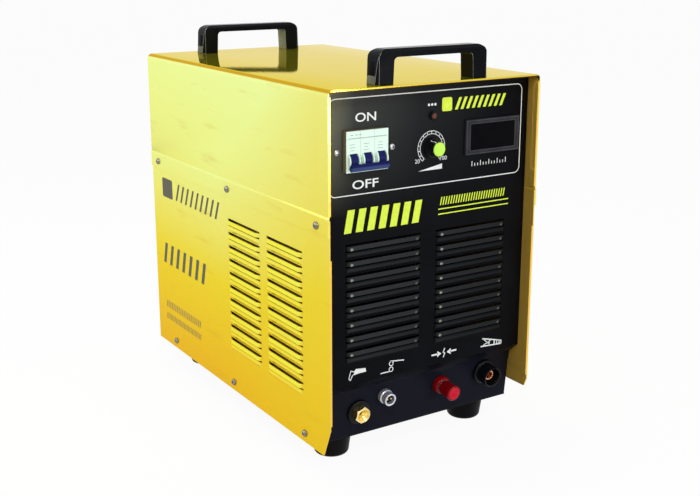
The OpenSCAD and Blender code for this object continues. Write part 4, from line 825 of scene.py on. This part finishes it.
# The pointer runs over the skirt, up the grip and a little way in over its top.
def makePointer():
    wide, edge = knob["pointerWide"], knob["pointerEdge"]
    low, high = knob["off"] + 3.05, knob["off"] + knob["high"] - 0.5
    rib = knob["radius"] + 1.25
    pointer = block((wide, 0.25, high - low), (0, rib, (low + high) / 2), edge, 2)
    outer = knob["skirt"] - rib - 0.2
    addShape(pointer, block((wide, outer, 0.3), (0, rib + outer / 2, low), edge, 2))
    addShape(pointer, block((wide, 2.2, 0.25), (0, rib - 1.0, high + 0.1), edge, 2))
    place = onFront(knob["x"], knob["drop"]) @ turned(knob["rest"])
    finishPiece(pointer, "knob_pointer", printWhite, "knob", place)


softCopy("current_knob", blackPlastic, knob["edge"], body="knob")
softCopy("knob_cap", knobLime, knob["capEdge"], body="knob", segments=3)
makePointer()
softCopy("lamp_bezel", blackPlastic, 0.25)
softCopy("lamp_lens", lampBrown, 0.0, sharp=40)

# The meter, with paler lines along the outer and inner rims of its frame.
meter = {
    "x": 88.3, "drop": 69.0, "wide": 79.0, "tall": 41.0, "out": 3.5, "windowWide": 65.5, "windowTall": 30.0,
    "edge": 0.9, "windowEdge": 0.3,
    "rimIn": 1.6, "rimLine": 0.9, "windowRimOut": 2.0, "windowRimLine": 0.7, "rimCorner": 1.2,
    "rimSunk": 0.3, "rimProud": 0.12,
}


def makeMeterRims():
    bottom, top = meter["out"] - meter["rimSunk"], meter["out"] + meter["rimProud"]
    corner, inwards, outwards = meter["rimCorner"], meter["rimIn"], meter["windowRimOut"]
    rims = ringPlate(meter["wide"] - inwards, meter["tall"] - inwards, corner, meter["rimLine"], bottom, top)
    inner = ringPlate(meter["windowWide"] + outwards, meter["windowTall"] + outwards, corner,
                      meter["windowRimLine"], bottom, top)
    addShape(rims, inner)
    finishPiece(rims, "meter_rims", meterLine, place=onFront(meter["x"], meter["drop"]))


softCopy("meter_housing", meterBezel, meter["edge"], segments=3)
softCopy("meter_window", meterGlass, meter["windowEdge"])
makeMeterRims()
print("knob, lamp and meter finished")

# Front sockets, each with its soft edge in millimetres.
softCopy("torch_insulator", blackPlastic, 0.5)
softCopy("torch_fitting", brassBright, 0.35)
softCopy("control_socket", chromePlate, 0.45, segments=3)
softCopy("pilot_collar", terminalRed, 0.6, segments=3)
softCopy("pilot_stud", brassBright, 0.2)
softCopy("pilot_washer", screwSteel, 0.2, body="terminal_washer")
softCopy("pilot_cap", terminalRed, 0.6, body="terminal_cap", segments=3)
softCopy("work_socket_body", blackPlastic, 0.5, segments=3)
softCopy("work_socket_contact", copperTone, 0.4, segments=3)

# Paler disc on the end of the terminal's cap.
terminal = {
    "x": 35.0, "drop": 21.5, "capFront": 29.5,
    "disc": 7.6, "chamfer": 0.4, "proud": 0.15, "sunk": 0.3,
}


def makeTerminalFace():
    disc, proud, sunk = terminal["disc"], terminal["proud"], terminal["sunk"]
    outline = [(0, proud), (disc - terminal["chamfer"], proud), (disc, 0.0), (disc, -sunk), (0, -sunk)]
    place = onLower(terminal["x"], terminal["drop"], terminal["capFront"])
    finishPiece(revolve(outline, 48), "terminal_face", terminalFace, "terminal_cap", place, sharp=40)


makeTerminalFace()
print("front sockets finished")

# Rear fittings and fan; the frame and the wire guard keep their own edges.
softCopy("mains_gland", blackPlastic, 0.5)
softCopy("gland_cap", blackPlastic, 0.6)
softCopy("air_inlet", brassBright, 0.3)
softCopy("earth_stud", brassBright, 0.25)
softCopy("fan_frame", blackPlastic, 0.0)
softCopy("fan_impeller", blackPlastic, 0.3, body="impeller")
softCopy("fan_guard", zincSteel, 0.0, sharp=45)
softCopy("fan_screws", screwSteel, 0.3)
print("rear fittings finished")

# Screen prints on the front panel: white rules, words and scale, lime bars, and plain white symbols.
ink = {"low": -0.06, "high": 0.07}


def words(text, width, height, bold=0.0):
    curve = bpy.data.curves.new("words", "FONT")
    curve.body = text
    curve.align_x = "CENTER"
    curve.resolution_u = 5
    curve.offset = bold
    curve.extrude = 0.5
    holder = bpy.data.objects.new("words", curve)
    bpy.context.scene.collection.objects.link(holder)
    graph = bpy.context.evaluated_depsgraph_get()
    flat = bpy.data.meshes.new_from_object(holder.evaluated_get(graph))
    bpy.data.objects.remove(holder)
    bpy.data.curves.remove(curve)
    shape = bmesh.new()
    shape.from_mesh(flat)
    bpy.data.meshes.remove(flat)
    bmesh.ops.remove_doubles(shape, verts=shape.verts, dist=0.0001)
    low = Vector([min(vert.co[axis] for vert in shape.verts) for axis in range(3)])
    high = Vector([max(vert.co[axis] for vert in shape.verts) for axis in range(3)])
    size = high - low
    thick = ink["high"] - ink["low"]
    fitted = Matrix.Diagonal((width / size.x, height / size.y, thick / size.z, 1))
    shape.transform(fitted @ Matrix.Translation(-(low + high) / 2))
    shape.transform(moved(z=(ink["low"] + ink["high"]) / 2))
    return shape


def stroke(start, end, width):
    run = Vector((end[0] - start[0], end[1] - start[1]))
    thick, middle = ink["high"] - ink["low"], (ink["low"] + ink["high"]) / 2
    bar = block((run.length, width, thick), (run.length / 2, 0, middle))
    bar.transform(moved(*start) @ turned(math.degrees(math.atan2(run.y, run.x))))
    return bar


def strokes(target, points, width):
    for start, end in zip(points, points[1:]):
        addShape(target, stroke(start, end, width))


def dot(x, y, outer, inner=0.0, steps=32):
    if inner:
        ring = arcPlate(inner, outer, 0, 360, steps, ink["low"], ink["high"])
    else:
        ring = revolve([(0, ink["low"]), (outer, ink["low"]), (outer, ink["high"]), (0, ink["high"])], steps)
    ring.transform(moved(x, y))
    return ring


# A row of bars that lean to the right and fill the width between left and right.
def leaningBars(target, left, right, foot, tall, count, fill, lean):
    pitch = (right - left - lean) / count
    wide = pitch * fill
    head = foot + tall
    for number in range(count):
        x = left + number * pitch
        corners = [(x, foot), (x + wide, foot), (x + wide + lean, head), (x + lean, head)]
        addShape(target, plate(corners, ink["low"], ink["high"]))


# Places on the panel: x from its middle, and drops from the top of the case. Points and feet are heights
# from that top instead, so theirs are negative.
panelPrint = {
    "boxWide": 267.0, "boxTall": 106.9, "boxDrop": 65.15, "boxCorner": 8.0, "rule": 1.1,
    "scaleOuter": 19.2, "scaleInner": 15.2, "scaleRule": 0.75, "scaleSweep": 140, "scaleSteps": 56,
    "rungs": 14, "rungWide": 0.9, "rungGap": 0.1,
    "wedge": [(-15.5, -101.5), (17.5, -101.5), (17.5, -95.5)],
    "tickCount": 13, "tickStart": 61.0, "tickPitch": 4.2, "tickDrop": 103.5, "tickWide": 0.9,
    "tickTall": 6.0, "tickLow": 3.4,
    "lampDots": (-4.4, 0.0, 4.4), "lampDotDrop": 27.3, "lampDotRadius": 1.5,
}

# Words on the panel: across, drop, width, height and how much bolder than plain.
panelWords = {
    "ON": (-86.6, 33.8, 26.8, 9.8, 0.012),
    "OFF": (-86.6, 107.2, 34.0, 9.8, 0.012),
    "20": (-17.2, 89.8, 6.6, 4.6, 0.0),
    "100": (19.4, 89.4, 9.4, 4.6, 0.0),
}


def makeWhitePrint():
    white = bmesh.new()
    p = panelPrint
    box = ringPlate(p["boxWide"], p["boxTall"], p["boxCorner"], p["rule"], ink["low"], ink["high"])
    addShape(white, box, moved(0, -p["boxDrop"]))
    for text, (x, drop, width, height, bold) in panelWords.items():
        addShape(white, words(text, width, height, bold), moved(x, -drop))
    middle = moved(knob["x"], -knob["drop"])
    sweep = p["scaleSweep"]
    for inner in (p["scaleInner"], p["scaleOuter"] - p["scaleRule"]):
        outer = inner + p["scaleRule"]
        arc = arcPlate(inner, outer, -sweep, 2 * sweep, p["scaleSteps"], ink["low"], ink["high"])
        addShape(white, arc, middle)
    for rung in range(p["rungs"] + 1):
        angle = -sweep + 2 * sweep * rung / p["rungs"]
        low, high = p["scaleInner"] + p["rungGap"], p["scaleOuter"] - p["rungGap"]
        bar = stroke((0, low), (0, high), p["rungWide"])
        addShape(white, bar, middle @ turned(-angle))
    addShape(white, plate(p["wedge"], ink["low"], ink["high"]))
    for tick in range(p["tickCount"]):
        tall = p["tickTall"] if tick % 3 == 0 else p["tickLow"]
        x = p["tickStart"] + p["tickPitch"] * tick
        addShape(white, stroke((x, -p["tickDrop"]), (x, tall - p["tickDrop"]), p["tickWide"]))
    for x in p["lampDots"]:
        addShape(white, dot(knob["x"] + x, -p["lampDotDrop"], p["lampDotRadius"], steps=20))
    return white


# Plain signs over the connections. Each line is a width and the points it runs through.
signs = {
    "torchBarrel": [(-101, -327.5), (-94, -326.5), (-85, -326.5), (-85.5, -322), (-98.5, -320.5),
                    (-101, -323)],
    "torchGrip": (1.0, [(-101, -323.5), (-105.5, -321.5), (-108.2, -330.5), (-106.2, -333), (-103.4, -327.5),
                        (-101, -326)]),
    "contacts": ((1.3, [(-65, -333.5), (-52, -333.5)]), (1.3, [(-51.5, -321), (-32, -323.5)])),
    "contactRings": ((-50, -324.2), (-50.3, -331.2)),
    "ringOuter": 3.2, "ringInner": 2.1,
    "arrowMiddle": 26.5, "arrowDrop": 326.5, "arrowTip": 4.0, "arrowBarb": 10.0, "arrowHalf": 3.8,
    "shaft": (18.5, 9.0), "shaftWide": 2.2,
    "spark": (1.4, [(27.6, -320.8), (25.0, -325.8), (28.0, -327.0), (25.4, -332.2)]),
    "clamp": ((1.5, [(85, -320.5), (115, -328.4), (115, -332.4), (83, -330.5)]),
              (1.2, [(87, -321.5), (97, -330.5)]), (1.2, [(86, -330), (99, -324.5)])),
    "teeth": (104, 108, 112), "toothTop": -326.5, "toothFoot": -331, "toothWide": 1.6,
    "pivot": (95.5, -327.5, 1.4),
}


def makeSymbols(white):
    s = signs
    addShape(white, plate(s["torchBarrel"], ink["low"], ink["high"]))
    for width, points in (s["torchGrip"], *s["contacts"]):
        strokes(white, points, width)
    for x, y in s["contactRings"]:
        addShape(white, dot(x, y, s["ringOuter"], s["ringInner"]))
    y = -s["arrowDrop"]
    for hand in (-1, 1):
        start, end = (s["arrowMiddle"] + reach * hand for reach in s["shaft"])
        strokes(white, [(start, y), (end, y)], s["shaftWide"])
        barb, point = s["arrowMiddle"] + s["arrowBarb"] * hand, s["arrowMiddle"] + s["arrowTip"] * hand
        corners = [(barb, y - s["arrowHalf"]), (point, y), (barb, y + s["arrowHalf"])]
        addShape(white, plate(corners, ink["low"], ink["high"]))
    for width, points in (s["spark"], *s["clamp"]):
        strokes(white, points, width)
    for x in s["teeth"]:
        strokes(white, [(x, s["toothTop"]), (x, s["toothFoot"])], s["toothWide"])
    x, y, radius = s["pivot"]
    addShape(white, dot(x, y, radius, steps=20))


# Rows of bars: left, right, foot, tall, count, share filled and lean.
limeMarks = {
    "badge": (14.0, 15.5, 2.2), "badgePlace": (23.0, -28.4),
    "rows": ((34.0, 113.0, -35.4, 13.6, 9, 0.5, 6.0), (-114.5, -3.6, -160.4, 26.0, 7, 0.62, 5.0),
             (15.6, 114.5, -144.4, 9.6, 26, 0.42, 2.0)),
    "rules": (148.8, 154.8), "ruleFrom": 13.5, "ruleTo": 118.0, "ruleWide": 1.3,
}
sideMarks = {
    "badge": (34.0, 27.0, 3.0), "badgePlace": (-431.0, -182.0),
    "rows": ((-404.0, -256.0, -194.0, 24.0, 9, 0.34, 10.0), (-454.0, -300.0, -293.0, 30.0, 7, 0.40, 8.0),
             (-451.0, -331.0, -359.5, 10.5, 20, 0.34, 3.0), (-452.0, -332.0, -377.0, 9.0, 26, 0.34, 2.5)),
}


def badgeAndRows(marks):
    shape = bmesh.new()
    badge = plate(roundedBox(*marks["badge"]), ink["low"], ink["high"])
    addShape(shape, badge, moved(*marks["badgePlace"]))
    for row in marks["rows"]:
        leaningBars(shape, *row)
    return shape


def makeLimePrint():
    lime = badgeAndRows(limeMarks)
    for drop in limeMarks["rules"]:
        ends = ((limeMarks["ruleFrom"], -drop), (limeMarks["ruleTo"], -drop))
        addShape(lime, stroke(*ends, limeMarks["ruleWide"]))
    return lime


whitePrint = makeWhitePrint()
makeSymbols(whitePrint)
sidePlace = onSide(-1, 0, 0, case["sideOut"])
finishPiece(whitePrint, "front_white_print", printWhite, place=onFront(0, 0), sharp=60)
finishPiece(makeLimePrint(), "front_lime_print", printLime, place=onFront(0, 0), sharp=60)
finishPiece(badgeAndRows(sideMarks), "side_print", printGrey, place=sidePlace, sharp=60)
print("prints laid")

# Camera, floor and light.
studio = {
    "cameraPlace": (-0.7232, -1.1967, 0.5836),
    "cameraTilt": 90 - 14.47,
    "cameraTurn": -32.53,
    "lens": 55.8,
    "shiftY": -0.02857,
    "worldStrength": 0.5,
    "floorSize": 12.0,
    "floorColour": (0.86, 0.86, 0.86, 1),
    "floorRough": 0.9,
    "floorShade": 0.06,
}

# Lamps: where each stands, what it faces, its width and height in metres, and its power in watts.
lamps = {
    "leftBack": ((-1.5, 0.55, 1.0), (0, 0, 0.25), (1.0, 1.0), 13),
    "leftFront": ((-0.7, -1.3, 1.5), (0, -0.1, 0.25), (0.28, 0.28), 7),
    "lowFront": ((0.42, -1.4, 0.3), (-0.05, -0.23, 0.3), (0.3, 0.3), 4.5),
    "topSoft": ((0.1, 0.4, 2.0), (0, 0, 0.4), (1.4, 1.4), 9),
}

cameraData = bpy.data.cameras.new("studioCamera")
cameraData.lens = studio["lens"]
cameraData.sensor_width = 36
cameraData.shift_y = studio["shiftY"]
cameraData.clip_start = 0.01
camera = bpy.data.objects.new("studioCamera", cameraData)
camera.location = studio["cameraPlace"]
camera.rotation_euler = (math.radians(studio["cameraTilt"]), 0, math.radians(studio["cameraTurn"]))
bpy.context.scene.collection.objects.link(camera)
bpy.context.scene.camera = camera


def addLamp(name, place, target, size, power):
    lampData = bpy.data.lights.new(name, "AREA")
    lampData.shape = "RECTANGLE"
    lampData.size, lampData.size_y = size
    lampData.energy = power
    lamp = bpy.data.objects.new(name, lampData)
    lamp.location = place
    lamp.rotation_euler = (Vector(target) - Vector(place)).to_track_quat("-Z", "Y").to_euler()
    bpy.context.scene.collection.objects.link(lamp)


# White where the camera, gloss and glass look, and a plain level elsewhere.
def whiteWhereSeen(tree):
    light = addNode(tree, "ShaderNodeLightPath").outputs
    seen = mathOf(tree, "MAXIMUM", light["Is Camera Ray"], light["Is Glossy Ray"])
    return mathOf(tree, "MAXIMUM", seen, light["Is Transmission Ray"])


world = bpy.data.worlds.new("studioWorld")
world.use_nodes = True
bpy.context.scene.world = world
sky = world.node_tree
level = rangeOf(sky, whiteWhereSeen(sky), 0.0, 1.0, studio["worldStrength"])
sky.links.new(level, sky.nodes["Background"].inputs["Strength"])
sky.nodes["Background"].inputs["Color"].default_value = (1, 1, 1, 1)

floorShape = bmesh.new()
bmesh.ops.create_grid(floorShape, x_segments=1, y_segments=1, size=studio["floorSize"])
floorMesh = bpy.data.meshes.new("studioFloor")
floorShape.to_mesh(floorMesh)
floorShape.free()
floor = bpy.data.objects.new("studioFloor", floorMesh)
bpy.context.scene.collection.objects.link(floor)
floorPaint, floorTree, floorShader = startMaterial("floorPaint")
floorShader.inputs["Base Color"].default_value = studio["floorColour"]
floorShader.inputs["Roughness"].default_value = studio["floorRough"]
glow = addNode(floorTree, "ShaderNodeEmission", {"Color": (1, 1, 1, 1), "Strength": 1.0})
share = rangeOf(floorTree, whiteWhereSeen(floorTree), 0.0, 1.0, 0.0, 1.0 - studio["floorShade"])
blend = addNode(floorTree, "ShaderNodeMixShader", {0: share, 1: floorShader.outputs[0], 2: glow.outputs[0]})
floorTree.links.new(blend.outputs[0], floorTree.nodes["Material Output"].inputs["Surface"])
floorMesh.materials.append(floorPaint)

for name, settings in lamps.items():
    addLamp(name, *settings)
print("camera, floor and light ready")
